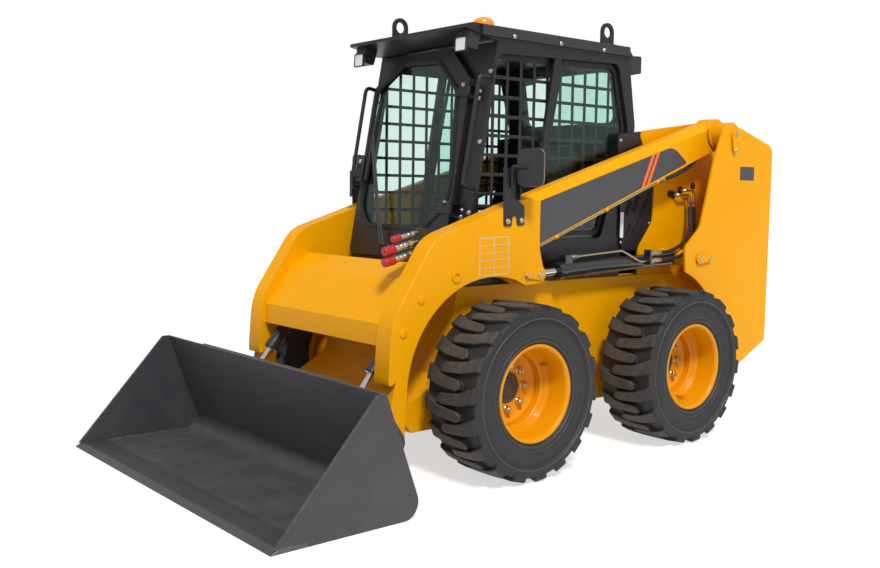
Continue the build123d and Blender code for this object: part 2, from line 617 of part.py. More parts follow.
def hinge_pins():
    """Door hinge pins with their lugs on the cab's left front post."""
    lug = Pos(0, 0, -DOOR_T) * Box(22, 8, HINGE_OUT + 12 + DOOR_T, align=UP)
    hinge = Rot(90, 0, 0) * Cylinder(HINGE_PIN_R, 70)
    hinge = Pos(0, 0, HINGE_OUT) * hinge + Pos(0, 30, 0) * lug + Pos(0, -30, 0) * lug
    low, high = HINGE_SPOTS
    return FRONT_FACE * (Pos(HINGE_Y, low, 0) * hinge + Pos(HINGE_Y, high, 0) * hinge)


def door_outline():
    """Door's outline on the cab's front."""
    top = FRONT_RISE - 12
    return [
        (DOOR_RIGHT, 52), (DOOR_LEFT, 52), (DOOR_LEFT, top - 165), (160, top), (-225, top),
        (DOOR_RIGHT, top - 165),
    ]


def window_outline(grow):
    """Door window: eight-sided with rounded corners, drawn out by grow."""
    g = grow
    return [
        (-310 - g * 0.4, 205 - g), (150 + g * 0.4, 197 - g), (273 + g * 0.7, 296 - g * 0.7),
        (312 + g, 390), (256 + g, 880 + g * 0.4), (80 + g * 0.4, 1047 + g), (-180 - g * 0.4, 1062 + g),
        (-385 - g * 0.7, 925 + g * 0.7), (-398 - g, 720), (-390 - g, 300 - g * 0.4),
    ]


def cab_door():
    """Front door's frame with its window cut, hinge sleeves and latch box."""
    panel = extrude(outline(door_outline(), 34) - outline(window_outline(0), 40), amount=-DOOR_T + 1)
    sleeve = Rot(90, 0, 0) * Cylinder(12, 44)
    leaf = Box(90, 40, HINGE_OUT - 5, align=(Align.MAX, Align.CENTER, Align.MAX))
    leaf = (sleeve + Pos(0, 0, -6) * leaf) - Rot(90, 0, 0) * Cylinder(HINGE_PIN_R + RUN, 50)
    low, high = HINGE_SPOTS
    leaves = Pos(HINGE_Y, low, HINGE_OUT) * leaf + Pos(HINGE_Y, high, HINGE_OUT) * leaf
    latch = Pos(DOOR_RIGHT + 30, 500, 0) * Box(56, 120, 34, align=UP)
    return FRONT_FACE * (panel + leaves + latch)


def door_window():
    """Door's glass, set in the middle of its frame."""
    return FRONT_FACE * Pos(0, 0, -DOOR_T / 2) * extrude(outline(window_outline(-SEAT_GAP), 40), amount=GLASS_T)


def side_windows():
    """Rear panes of the cab's sides, outside the screens and behind the middle posts."""
    behind = outline([
        (FRONT_X - 1200, DECK_Z), (FRONT_X - 401, DECK_Z), (FRONT_X - 594, ROOF_Z),
        (FRONT_X - 1200, ROOF_Z),
    ])
    opening = outline(cab_opening(), 40)
    pane = across(opening & behind, CAB_INNER + SEAT_GAP, CAB_INNER + GLASS_T)
    return both_sides(pane)


def side_screens():
    """Punched steel screens against the inside of the cab's side openings."""
    frame = outline(cab_opening(), 40)
    low_x, high_x = FRONT_X - 1108, FRONT_X - 18
    low_z, high_z = DECK_Z + 205, ROOF_Z - 95
    sheet = offset(frame, 14)
    hole = SCREEN_PITCH - SCREEN_WEB
    columns = int((high_x - low_x) / SCREEN_PITCH)
    rows = int((high_z - low_z) / SCREEN_PITCH)
    inside = offset(frame, -6)
    grid = GridLocations(SCREEN_PITCH, SCREEN_PITCH, columns, rows)
    centre = Pos((low_x + high_x) / 2, (low_z + high_z) / 2)
    holes = Sketch() + [centre * spot * Rectangle(hole, hole) for spot in grid]
    behind_ring = outline([
        (front_line(low_z - 40, DOOR_T + RING_T), low_z - 40),
        (front_line(high_z + 30, DOOR_T + RING_T), high_z + 30),
        (FRONT_X - 1200, high_z + 30), (FRONT_X - 1200, low_z - 40),
    ])
    panel = across((sheet & behind_ring) - (holes & inside), CAB_INNER - SCREEN_T, CAB_INNER)
    louvre = across(outline([
        (FRONT_X - 1064, DECK_Z + 134), (FRONT_X - 1130, DECK_Z + 470), (REAR_X - 176, DECK_Z + 464),
        (REAR_X - 169, DECK_Z + 286), (REAR_X - 60, DECK_Z + 134),
    ], [0, 0, 0, 40, 20]), TOWER_IN - PLATE - 5, TOWER_IN - PLATE)
    for index in range(3):
        slot = Pos(FRONT_X - 1150 - index * 48, DECK_Z + 240 + index * 36) * Rot(0, 0, -14) * SlotOverall(120, 26, 90)
        louvre -= across(slot, TOWER_IN - PLATE - 6, TOWER_IN - PLATE + 1)
    return both_sides(panel + louvre)


def rear_window():
    """Cab's rear pane, against the inside of the rear wall's upper part."""
    wall = CAB_BACK_INNER[:2]
    pane = outline([
        beside(wall, 30, -SEAT_GAP), beside(wall, 345, -SEAT_GAP), beside(wall, 345, -GLASS_T),
        beside(wall, 30, -GLASS_T),
    ])
    return across(pane, -REAR_GLASS_HALF - 20, REAR_GLASS_HALF + 20)


def cab_floor():
    """Footwell floor, heel board and seat deck in one bent sheet."""
    t = 6
    foot_z = BELLY_Z + 249
    deck_z = DECK_Z - 42
    return across(outline([
        (FRONT_X + 182, foot_z), (FRONT_X - 470, foot_z), (FRONT_X - 470, deck_z),
        (FRONT_X - 1035, deck_z), (FRONT_X - 1035, deck_z + t), (FRONT_X - 464, deck_z + t),
        (FRONT_X - 464, foot_z + t), (FRONT_X + 182, foot_z + t),
    ]), -FOOTWELL_HALF, FOOTWELL_HALF)


def seat():
    """Operator's seat: base, cushion and backrest."""
    deck = DECK_Z - 36
    x = FRONT_X - 450
    base = block(x - 470, x - 60, -200, 200, deck, deck + 130)
    cushion = across(outline([
        (x, deck + 130), (x + 6, deck + 200), (x - 30, deck + 226), (x - 400, deck + 200),
        (x - 500, deck + 215), (x - 510, deck + 130),
    ], 20), -240, 240)
    back = across(outline([
        (x - 405, deck + 180), (x - 495, deck + 180), (x - 560, deck + 700), (x - 530, deck + 760),
        (x - 470, deck + 740), (x - 440, deck + 560),
    ], 24), -220, 220)
    return base + cushion + back


def operator_controls():
    """Armrest consoles with a joystick on each."""
    deck = DECK_Z - 36
    x = FRONT_X - 560
    console = block(x - 300, x + 120, 262, FOOTWELL_HALF, deck, deck + 260)
    stick = Pos(x + 60, 296, deck + 260) * Cone(32, 14, 70, align=UP)
    stick += Pos(x + 60, 296, deck + 330) * Cylinder(12, 60, align=UP)
    stick += Pos(x + 60, 296, deck + 390) * Cone(20, 26, 110, align=UP)
    return both_sides(console + stick)


def lap_bar():
    """Padded lap bar, down in front of the seat, from brackets on the rear posts."""
    half = 372
    x = FRONT_X - 450
    z = DECK_Z + 430
    path = [
        (x - 610, half, z + 60), (x - 200, half, z + 40), (x + 60, half, z - 70),
        (x + 60, -half, z - 70), (x - 200, -half, z + 40), (x - 610, -half, z + 60),
    ]
    pivots = shaft((x - 610, z + 60), 2 * TUBE_R, half - TUBE_R, CAB_INNER - SEAT_GAP)
    return tube_path(path, TUBE_R, [120, 80, 80, 120]) + both_sides(pivots)


def grab_handles():
    """Upright grab bars beside the door."""
    y = CAB_HALF - 5
    low, high = 406, 933
    bar = tube_path([(y, low, -DOOR_T), (y, low, 42), (y, high, 42), (y, high, -DOOR_T)], 10, 28)
    return both_sides(FRONT_FACE * bar)


def work_lights():
    """Two front work lights under the visor and two rear ones on the rear wall's corners."""
    brim = ((FRONT_X - 106, EAVES_Z), (FRONT_X + VISOR, EAVES_Z + VISOR_RISE))
    front = across(outline([
        beside(brim, 68, SEAT_GAP), beside(brim, 140, SEAT_GAP), beside(brim, 140, 78), beside(brim, 76, 74),
    ], [0, 0, 8, 8]), CAB_HALF - 92, CAB_HALF - 8)
    wall = CAB_BACK[:2]
    rear = across(outline([
        beside(wall, 14, SEAT_GAP), beside(wall, 84, SEAT_GAP), beside(wall, 84, 40), beside(wall, 14, 52),
    ], [0, 0, 8, 8]), CAB_HALF - 110, CAB_HALF - 6)
    return both_sides(front + rear)


def beacon():
    """Amber beacon on the roof."""
    body = Cylinder(66, 26, align=UP)
    dome = Pos(0, 0, 26) * Cone(60, 50, 112, align=UP)
    return Pos(FRONT_X - 460, 0, ROOF_Z) * (body + fillet(dome.edges().group_by(Axis.Z)[-1], 24))


def lifting_eyes():
    """Two eye plates on the roof for a crane's shackles, at the front right and the rear left."""
    top = EYE_HOLE_UP + EYE_PLATE_HALF
    plate = outline([(-EYE_PLATE_HALF, 0), (EYE_PLATE_HALF, 0), (EYE_PLATE_HALF, top), (-EYE_PLATE_HALF, top)],
                    [0, 0, EYE_PLATE_HALF - 1, EYE_PLATE_HALF - 1])
    plate -= Pos(0, EYE_HOLE_UP) * Circle(EYE_HOLE_R)
    eye = across(plate, -EYE_PLATE_T / 2, EYE_PLATE_T / 2) + block(-60, 60, -14, 14, 0, 8)
    front, rear = [Pos(x, y, ROOF_Z) * eye for x, y in EYE_SPOTS]
    return front + rear


# ---------------------------------------------------------------- rear covers

def engine_hood():
    """Top cover over the engine, hung at its front corners on pins from the towers."""
    hood = across(outline([
        (HOOD_FRONT_X, HOOD_Z), (TAIL_X + 60, HOOD_Z - 70), (TAIL_X + 24, HOOD_Z - 100),
        (TAIL_X + 24, HOOD_Z - 150), (TAIL_X + 44, HOOD_Z - 150), (TAIL_X + 64, HOOD_Z - 104),
        (HOOD_FRONT_X, HOOD_Z - 34),
    ], [8, 20, 20, 0, 0, 0, 8]), -COVER_HALF, COVER_HALF)
    for side in (-1, 1):
        hood -= shaft(HOOD_PIN, HOOD_PIN_R + RUN, side * COVER_HALF - 20, side * COVER_HALF + 20)
    return hood


def rear_door():
    """Engine door across the tail, with its louvred grille, middle post and hinge sleeves."""
    high = HOOD_Z - 160
    back = TAIL_X + 20
    door = block(back, back + DOOR_SHEET, -COVER_HALF, COVER_HALF, DOOR_FOOT_Z, high)
    louvre = outline([
        (back - 10, 0), (back + DOOR_SHEET + 8, 30), (back + DOOR_SHEET + 8, 50), (back - 10, 20),
    ])
    for index in range(LOUVRE_COUNT):
        lift = Pos(0, 0, DOOR_FOOT_Z + 190 + index * LOUVRE_PITCH)
        door -= lift * across(louvre, 110 - COVER_HALF, COVER_HALF - 110)
    door += block(back, back + DOOR_SHEET, -15, 15, DOOR_FOOT_Z + 10, high - 10)
    for z in (DOOR_FOOT_Z, DOOR_TOP_HINGE_Z):
        sleeve = Pos(DOOR_PIN_X, DOOR_HINGE_Y, z) * Cylinder(DOOR_PIN_R + 3, 34, align=UP)
        sleeve += block(DOOR_PIN_X, back + 4, DOOR_HINGE_Y - 30, DOOR_HINGE_Y, z, z + 34)
        door += sleeve - Pos(DOOR_PIN_X, DOOR_HINGE_Y, z) * Cylinder(DOOR_PIN_R + RUN, 100)
    return door


def door_hinge_lug():
    """Lug on the left tower with the engine door's upper hinge pin."""
    z = DOOR_TOP_HINGE_Z + 36
    lug = block(TAIL_X + 2, TAIL_X + 18, DOOR_HINGE_Y, TOWER_IN - PLATE + 1, z, z + 14)
    lug += Pos(DOOR_PIN_X, DOOR_HINGE_Y, z) * Cylinder(DOOR_PIN_R + 3, 14, align=UP)
    pin = Pos(DOOR_PIN_X, DOOR_HINGE_Y, z) * Cylinder(DOOR_PIN_R, 30, align=DOWN)
    return lug + pin


# ---------------------------------------------------------------- fittings

def mirrors():
    """Rear-view mirrors standing on the lift arms beside the cab's front posts."""
    x = FRONT_X - 126
    z = AXLE_Z + ARCH_R + 343
    foot = outline([
        (x - 70, z - 76), (x + 50, z - 98), (x + 46, z - 60), (x + 30, z - 20), (x + 22, z + 150),
        (x - 62, z + 150), (x - 62, z - 30),
    ], [12, 12, 0, 20, 14, 14, 0])
    bracket = across(foot, ARM_OUT, ARM_OUT + 6)
    stalk = Pos(x - 40, ARM_OUT + 3, z + 140) * Cylinder(8, 60, align=UP)
    glass = across(outline([
        (x - 180, z + 76), (x - 12, z + 76), (x - 12, z + 240), (x - 180, z + 240),
    ], 34), ARM_OUT - 44, ARM_OUT - 26)
    arm = block(x - 50, x - 30, ARM_OUT - 28, ARM_OUT + 11, z + 180, z + 196)
    return bracket + stalk + glass + arm


def hydraulic_couplers():
    """Three capped hydraulic quick couplers on a block inside the left arm."""
    x, y, z = FRONT_X + 372, ARM_IN, AXLE_Z + 560
    body = block(x - 30, x + 12, y - 36, y, z, z + 150)
    for index in range(3):
        spot = Location((x - 8, y - 36, z + 24 + index * 50), (90, 0, 0))
        body += spot * Cylinder(15, 44, align=UP)
        body += spot * Pos(0, 0, 44) * Cylinder(18, 34, align=UP)
    return body


# ---------------------------------------------------------------- write the parts

def write(name, piece):
    """Write one named node as a STEP file."""
    export_step(piece, os.path.join("parts", name + ".step"))


def main():
    os.makedirs("parts", exist_ok=True)
    nodes = {
        "main_frame": main_frame(),
        "engine": engine(),
        "axle_hubs": axle_hubs(),
        "arm_cross_member": arm_cross_member(),
        "left_lift_arm": lift_arm(),
        "left_lift_barrel": lift_barrel(),
        "left_lift_rod": lift_rod(),
        "left_tilt_barrel": tilt_barrel(),
        "left_tilt_rod": tilt_rod(),
        "attachment_frame": attachment_frame(),
        "bucket": bucket(),
        "cutting_edge": cutting_edge(),
        "cab_frame": cab_frame(),
        "cab_door": cab_door(),
        "cab_door_window": door_window(),
        "cab_windows": side_windows() + rear_window(),
        "side_screens": side_screens(),
        "cab_floor": cab_floor(),
        "seat": seat(),
        "operator_controls": operator_controls(),
        "lap_bar": lap_bar(),
        "grab_handles": grab_handles(),
        "work_lights": work_lights(),
        "beacon": beacon(),
        "lifting_eyes": lifting_eyes(),
        "mirrors": mirrors(),
        "hydraulic_couplers": hydraulic_couplers(),
        "engine_hood": engine_hood(),
        "rear_door": rear_door(),
    }
    nodes["left_tower"] = tower() + door_hinge_lug()
    nodes["right_tower"] = right_hand(tower())
    for name in ("lift_arm", "lift_barrel", "lift_rod", "tilt_barrel", "tilt_rod"):
        nodes["right_" + name] = right_hand(nodes["left_" + name])
    left_tyre, left_rim = tyre(), rim()
    right_tyre, right_rim = right_hand(left_tyre), right_hand(left_rim)
    for end, x in (("front", FRONT_X), ("rear", REAR_X)):
        spot = Pos(x, WHEEL_Y, AXLE_Z)
        nodes[end + "_left_tyre"] = spot * left_tyre
        nodes[end + "_left_rim"] = spot * left_rim
        spot = Pos(x, -WHEEL_Y, AXLE_Z)
        nodes[end + "_right_tyre"] = spot * right_tyre
        nodes[end + "_right_rim"] = spot * right_rim
    for name, piece in nodes.items():
        write(name, piece)


main()
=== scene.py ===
# %% [markdown]
# # A skid steer loader, finished piece by piece
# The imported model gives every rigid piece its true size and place, in metres: X forward, Y to the
# machine's left, Z up. This file keeps those pieces and gives them paint, glass, rubber and steel, and
# it makes the pieces that only need to be seen: tyre lugs, bolts, hoses, decals and the seat's padding.
# Each step says what the real piece is, how it could be made, and why this way was chosen.

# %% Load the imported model
import math
import bmesh
import bpy
import numpy as np
from mathutils import Matrix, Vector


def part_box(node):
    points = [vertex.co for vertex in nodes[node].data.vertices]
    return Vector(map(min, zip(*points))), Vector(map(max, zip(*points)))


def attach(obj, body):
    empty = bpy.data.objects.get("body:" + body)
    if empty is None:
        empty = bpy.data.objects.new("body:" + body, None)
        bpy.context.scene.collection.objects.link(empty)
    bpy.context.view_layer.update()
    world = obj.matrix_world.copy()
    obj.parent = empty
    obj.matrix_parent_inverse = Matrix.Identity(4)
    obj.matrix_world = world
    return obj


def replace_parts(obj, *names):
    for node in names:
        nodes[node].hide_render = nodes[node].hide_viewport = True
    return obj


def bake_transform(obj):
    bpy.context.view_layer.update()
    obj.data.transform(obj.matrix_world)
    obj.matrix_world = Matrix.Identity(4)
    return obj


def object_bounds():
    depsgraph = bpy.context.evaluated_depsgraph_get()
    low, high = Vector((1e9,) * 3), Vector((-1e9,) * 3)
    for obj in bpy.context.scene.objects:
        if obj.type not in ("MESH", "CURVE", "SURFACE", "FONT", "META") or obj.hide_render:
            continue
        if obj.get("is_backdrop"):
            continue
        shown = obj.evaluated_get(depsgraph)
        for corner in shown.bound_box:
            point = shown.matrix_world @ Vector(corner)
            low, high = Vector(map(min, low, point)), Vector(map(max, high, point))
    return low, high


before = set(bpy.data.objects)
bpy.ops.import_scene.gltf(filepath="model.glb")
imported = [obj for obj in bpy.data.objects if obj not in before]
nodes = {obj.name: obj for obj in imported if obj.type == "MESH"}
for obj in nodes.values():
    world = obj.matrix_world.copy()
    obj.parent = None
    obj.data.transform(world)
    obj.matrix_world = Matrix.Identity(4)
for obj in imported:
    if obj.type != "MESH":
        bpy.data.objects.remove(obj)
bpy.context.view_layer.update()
print("pieces in the packed model:", len(nodes))

# %% [markdown]
# ## Where to stand
# The loader is looked at from its front left corner, a little above the hood of a car, with a normal
# lens. A camera is easiest to repeat when its place, its three angles and its focal length are written
# down, so they are turned into one rotation matrix here rather than aimed by eye.

# %% Camera
IMAGE_W, FOCAL = 880, 984.0                     # picture's width and focal length, in the same unit
YAW, PITCH, ROLL = (math.radians(a) for a in (-129.90, -5.427, 0.697))
STAND = (3.4513, 3.8548, 1.2787)                # metres
SHIFT_X, SHIFT_Y = 0.0083, 0.0012               # of the picture's width
SENSOR = 36.0                                   # millimetres


def camera_axes(yaw, pitch, roll):
    """Right, up and forward of a camera.

    forward = (cos p cos y, cos p sin y, sin p); right = forward x z; up = right x forward;
    then right and up turn by the roll about forward.
    """
    forward = np.array([math.cos(pitch) * math.cos(yaw), math.cos(pitch) * math.sin(yaw), math.sin(pitch)])
    right = np.cross(forward, (0.0, 0.0, 1.0))
    right /= np.linalg.norm(right)
    up = np.cross(right, forward)
    c, s = math.cos(roll), math.sin(roll)
    return c * right + s * up, -s * right + c * up, forward


def make_camera():
    """Camera object at the standing place, its lens in millimetres = FOCAL x sensor / picture width."""
    right, up, forward = camera_axes(YAW, PITCH, ROLL)
    data = bpy.data.cameras.new("stand_camera")
    data.sensor_width = SENSOR
    data.lens = FOCAL * SENSOR / IMAGE_W
    data.shift_x, data.shift_y = SHIFT_X, SHIFT_Y
    camera = bpy.data.objects.new("stand_camera", data)
    matrix = np.eye(4)
    matrix[:3, 0], matrix[:3, 1], matrix[:3, 2] = right, up, -forward
    matrix[:3, 3] = STAND
    camera.matrix_world = Matrix(matrix.tolist())
    bpy.context.collection.objects.link(camera)
    bpy.context.scene.camera = camera


make_camera()

# %% [markdown]
# ## Surfaces from numbers
# Almost every new piece here is a sheet of points: rows along one parameter, columns along another. One
# helper turns such a sheet into a mesh, closes it where it comes round on itself, and puts many sheets
# into one object when they are alike. Nothing is looped point by point, so a tyre's hundred thousand
# corners take no longer to write than a bolt's.

# %% Mesh helpers
SIDES = ("left", 1), ("right", -1)               # label and sign of y


def grid_faces(rows, cols, wrap_rows=False, wrap_cols=False):
    """Quads of a rows x cols sheet: (i, j), (i+1, j), (i+1, j+1), (i, j+1), wrapping where asked."""
    i = np.arange(rows if wrap_rows else rows - 1)
    j = np.arange(cols if wrap_cols else cols - 1)
    a, b = np.meshgrid(i, j, indexing="ij")
    a2, b2 = (a + 1) % rows, (b + 1) % cols
    return np.stack([a * cols + b, a2 * cols + b, a2 * cols + b2, a * cols + b2], -1).reshape(-1, 4)


def many(faces, count, size):
    """The same faces for count copies of a sheet with size points each."""
    return (faces[None] + (np.arange(count) * size)[:, None, None]).reshape(-1, faces.shape[1])


def closed_faces(rows, n):
    """Faces of rows rings of n points: the walls between them, then a cap on the first and on the last."""
    return [grid_faces(rows, n, wrap_cols=True), np.array([np.arange(n), (rows - 1) * n + np.arange(n)[::-1]])]


def solid(name, points, faces, material, body, outward=True):
    """One object from points (n, 3) and faces, or a list of them, with a finish.

    It rides on its body; body None puts it on the stage and "free" leaves it to the caller.
    """
    mesh = bpy.data.meshes.new(name)
    points = np.asarray(points, dtype=np.float64).reshape(-1, 3)
    groups = faces if isinstance(faces, list) else [faces]
    polygons = [tuple(f) for g in groups for f in np.asarray(g).tolist()]
    mesh.from_pydata(points.tolist(), [], polygons)
    mesh.polygons.foreach_set("use_smooth", np.ones(len(polygons), dtype=bool))
    mesh.materials.append(material)
    piece = bpy.data.objects.new(name, mesh)
    bpy.context.collection.objects.link(piece)
    if outward:
        face_out(mesh)
    if body is None:
        piece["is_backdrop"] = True
    elif body != "free":
        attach(piece, body)
    return piece


def face_out(mesh):
    """Merge doubles and turn every closed shell's faces outwards."""
    work = bmesh.new()
    work.from_mesh(mesh)
    bmesh.ops.remove_doubles(work, verts=work.verts, dist=1e-6)
    bmesh.ops.recalc_face_normals(work, faces=work.faces)
    work.to_mesh(mesh)
    work.free()


def sharpen(piece, degrees=35.0):
    """Smooth shading that breaks at edges steeper than an angle."""
    piece.data.set_sharp_from_angle(angle=math.radians(degrees))
    return piece


def lofted(name, sheet, material, body, hard=30):
    """Closed skin over a (rows, n, 3) sheet of rings."""
    return sharpen(solid(name, sheet, closed_faces(*sheet.shape[:2]), material, body), hard)

# %% [markdown]
# ## Daylight without a studio
# The stage is one pale floor that reads white to the eye of the camera, of mirrors and of glass, and
# keeps the loader's shadow. The sky is an even dome, half as strong for what it lights as for what sees
# it, and one broad lamp from the front left gives the top faces their shine. Together they show a colour
# about as it is written.

# %% Stage and light
def add_node(tree, kind, inputs=None, **settings):
    """New shader node of a kind; each input is given a socket to link or a plain value."""
    made = tree.nodes.new("ShaderNode" + kind)
    for key, value in settings.items():
        setattr(made, key, value)
    for key, value in (inputs or {}).items():
        if isinstance(value, bpy.types.NodeSocket):
            tree.links.new(value, made.inputs[key])
        else:
            made.inputs[key].default_value = value
    return made


def calc(tree, operation, a, b, clamp=False):
    """Math node on two sockets or numbers; its output socket."""
    return add_node(tree, "Math", {0: a, 1: b}, operation=operation, use_clamp=clamp).outputs[0]


def fresh_tree(data):
    """Emptied node tree of a new material or world."""
    data.use_nodes = True
    data.node_tree.nodes.clear()
    return data.node_tree


def stage_material():
    """White to camera, glossy and glass rays; a plain pale diffuse that still takes the shadow."""
    mat = bpy.data.materials.new("stage_white")
    tree = fresh_tree(mat)
    path = add_node(tree, "LightPath").outputs
    seen = calc(tree, "MAXIMUM", path["Is Camera Ray"],
                calc(tree, "MAXIMUM", path["Is Glossy Ray"], path["Is Transmission Ray"]))
    plain = add_node(tree, "BsdfDiffuse", {"Color": (0.86, 0.86, 0.86, 1)}).outputs[0]
    soft = add_node(tree, "BsdfDiffuse", {"Color": (0.46, 0.46, 0.46, 1)}).outputs[0]
    glow = add_node(tree, "Emission", {"Strength": 0.62}).outputs[0]
    bright = add_node(tree, "AddShader", {0: soft, 1: glow}).outputs[0]
    both = add_node(tree, "MixShader", {0: seen, 1: plain, 2: bright}).outputs[0]
    add_node(tree, "OutputMaterial", {"Surface": both})
    return mat


def make_stage(reach=60.0):
    """Floor: one flat sheet from -reach to reach metres in x and y at z = 0."""
    points = np.array([(-1, -1, 0), (1, -1, 0), (1, 1, 0), (-1, 1, 0)]) * reach
    return solid("pale_floor", points, np.array([[0, 1, 2, 3]]), stage_material(), None, outward=False)


def make_sky(seen=1.0, lit=0.52):
    """World: strength = seen for camera and glass rays, lit for the light on surfaces."""
    bpy.context.scene.world = bpy.data.worlds.new("even_sky")
    tree = fresh_tree(bpy.context.scene.world)
    path = add_node(tree, "LightPath").outputs
    direct = calc(tree, "MAXIMUM", path["Is Camera Ray"], path["Is Transmission Ray"])
    lamp, white = (add_node(tree, "Background", {"Color": (1, 1, 1, 1), "Strength": power}).outputs[0]
                   for power in (lit, seen))
    blend = add_node(tree, "MixShader", {0: direct, 1: lamp, 2: white}).outputs[0]
    add_node(tree, "OutputWorld", {"Surface": blend})


def make_lamp(name, strength, azimuth, height, spread):
    """Sun from azimuth and height in degrees; it shines along -(cos h cos a, cos h sin a, sin h)."""
    data = bpy.data.lights.new(name, "SUN")
    data.energy, data.angle = strength, math.radians(spread)
    lamp = bpy.data.objects.new(name, data)
    lamp.rotation_euler = (math.radians(90 - height), 0, math.radians(azimuth + 90))
    bpy.context.collection.objects.link(lamp)


make_stage()
make_sky()
make_lamp("key_lamp", 2.7, azimuth=62, height=50, spread=10)
bpy.context.scene.view_settings.view_transform = "Standard"

# %% [markdown]
# ## Finishes
# Every finish on the loader shares a few small effects: a slow change of tone over a panel, dust that
# settles low down and on ledges, fine texture in the paint, and bright edges. On the roof rail the ledge and
# edge shares are a painted satin highlight; elsewhere they are dust and rubbed wear. Each effect is built
# once as a node group that gives out only numbers or normals, and each material mixes them in its own amounts.

# %% Shared effects
def new_group(name, inputs, outputs):
    """Empty node group with float inputs {name: default} and outputs {name: kind}: its tree, entry and exit."""
    group = bpy.data.node_groups.new(name, "ShaderNodeTree")
    for label, value in inputs.items():
        group.interface.new_socket(name=label, in_out="INPUT", socket_type="NodeSocketFloat").default_value = value
    for label, kind in outputs.items():
        group.interface.new_socket(name=label, in_out="OUTPUT", socket_type="NodeSocket" + kind)
    return group, group.nodes.new("NodeGroupInput").outputs, group.nodes.new("NodeGroupOutput").inputs


def noise(tree, where, scale, detail=3.0, rough=0.55):
    """Noise texture on a vector socket; its factor socket."""
    return add_node(tree, "TexNoise", {"Vector": where, "Scale": scale, "Detail": detail,
                                       "Roughness": rough}).outputs["Fac"]


def object_place(tree):
    """Object coordinates: a piece's own metres, so a pattern stays with the piece."""
    return add_node(tree, "TexCoord").outputs["Object"]


def ramp(tree, value, low, high, to_low=0.0, to_high=1.0):
    """Map Range node from low..high, clamped; its output socket."""
    return add_node(tree, "MapRange", {"Value": value, "From Min": low, "From Max": high, "To Min": to_low,
                                       "To Max": to_high}).outputs["Result"]


def tone_group():
    """Panel tone: 1 + amount x (noise(scale) - 0.5), a slow change of brightness over a surface."""
    group, given, gives = new_group("panel_tone", {"Scale": 2.0, "Amount": 0.1}, {"Tone": "Float"})
    centred = calc(group, "SUBTRACT", noise(group, object_place(group), given["Scale"], 4.0), 0.5)
    change = calc(group, "MULTIPLY", centred, given["Amount"])
    group.links.new(calc(group, "ADD", change, 1.0), gives["Tone"])
    return group


def dust_and_top_sheen_group():
    """Settled dust: (1 - z / height) x patchy noise, plus a share on faces that look up: dust on most finishes, a
    painted top highlight on the roof rail.
    """
    group, given, gives = new_group("settled_dust_and_top_sheen", {"Height": 1.2, "Amount": 0.5, "Ledges": 0.3}, {"Mask": "Float"})
    place = object_place(group)
    z = add_node(group, "SeparateXYZ", {0: place}).outputs["Z"]
    low = calc(group, "SUBTRACT", 1.0, calc(group, "DIVIDE", z, given["Height"]), clamp=True)
    patch = ramp(group, noise(group, place, 5.0, 6.0, 0.65), 0.36, 0.68)
    fine = ramp(group, noise(group, place, 60.0, 3.0, 0.6), 0.3, 0.75, 0.55, 1.0)
    body = calc(group, "MULTIPLY", calc(group, "MULTIPLY", low, patch), fine)
    normal = add_node(group, "TexCoord").outputs["Normal"]
    up = ramp(group, add_node(group, "SeparateXYZ", {0: normal}).outputs["Z"], 0.55, 0.98)
    ledge = calc(group, "MULTIPLY", calc(group, "MULTIPLY", up, fine), given["Ledges"])
    total = calc(group, "ADD", calc(group, "MULTIPLY", body, given["Amount"]), ledge, clamp=True)
    group.links.new(total, gives["Mask"])
    return group


def edge_group():
    """Edge mask: 1 - (true normal . rounded normal), stretched to 0..1 and broken up by noise; rubbed wear on most
    finishes, a painted satin highlight on the roof rail.
    """
    group, given, gives = new_group("rubbed_edge_and_highlight", {"Radius": 0.004, "Break": 0.5},
                                    {"Mask": "Float", "Normal": "Vector"})
    rounded_normal = add_node(group, "Bevel", {"Radius": given["Radius"]}, samples=4).outputs["Normal"]
    true_normal = add_node(group, "NewGeometry").outputs["Normal"]
    dot = add_node(group, "VectorMath", {0: rounded_normal, 1: true_normal}, operation="DOT_PRODUCT").outputs["Value"]
    edge = ramp(group, calc(group, "SUBTRACT", 1.0, dot), 0.04, 0.2)
    rough = calc(group, "SUBTRACT", noise(group, object_place(group), 38.0, 5.0, 0.7), 0.42)
    limit = calc(group, "MAXIMUM", calc(group, "MULTIPLY", rough, 6.0), 0.0)
    broken = calc(group, "MULTIPLY", edge, calc(group, "MINIMUM", limit, 1.0))
    group.links.new(calc(group, "MULTIPLY", broken, given["Break"]), gives["Mask"])
    group.links.new(rounded_normal, gives["Normal"])
    return group


def grain_group():
    """Surface grain: coarse x noise(scale) + fine x noise(9 scale), a height for a Bump node."""
    group, given, gives = new_group("surface_grain", {"Scale": 80.0, "Fine": 0.4},
                                    {"Height": "Float", "Speckle": "Float"})
    place = object_place(group)
    coarse = noise(group, place, given["Scale"], 2.0)
    fine = noise(group, place, calc(group, "MULTIPLY", given["Scale"], 9.0), 2.0)
    total = calc(group, "ADD", coarse, calc(group, "MULTIPLY", fine, given["Fine"]))
    group.links.new(total, gives["Height"])
    group.links.new(fine, gives["Speckle"])
    return group


TONE, DUST_AND_TOP_SHEEN, EDGE, GRAIN = tone_group(), dust_and_top_sheen_group(), edge_group(), grain_group()


# %% Materials from the effects
def mix_color(tree, amount, first, second):
    """Colour mix: first x (1 - amount) + second x amount, where first is a socket and second a colour."""
    return add_node(tree, "Mix", {0: amount, 6: first, 7: (*second, 1)}, data_type="RGBA").outputs[2]


def placed(tree, group, **values):
    """A shared effect placed in a material, with this material's own values."""
    return add_node(tree, "Group", values, node_tree=group).outputs


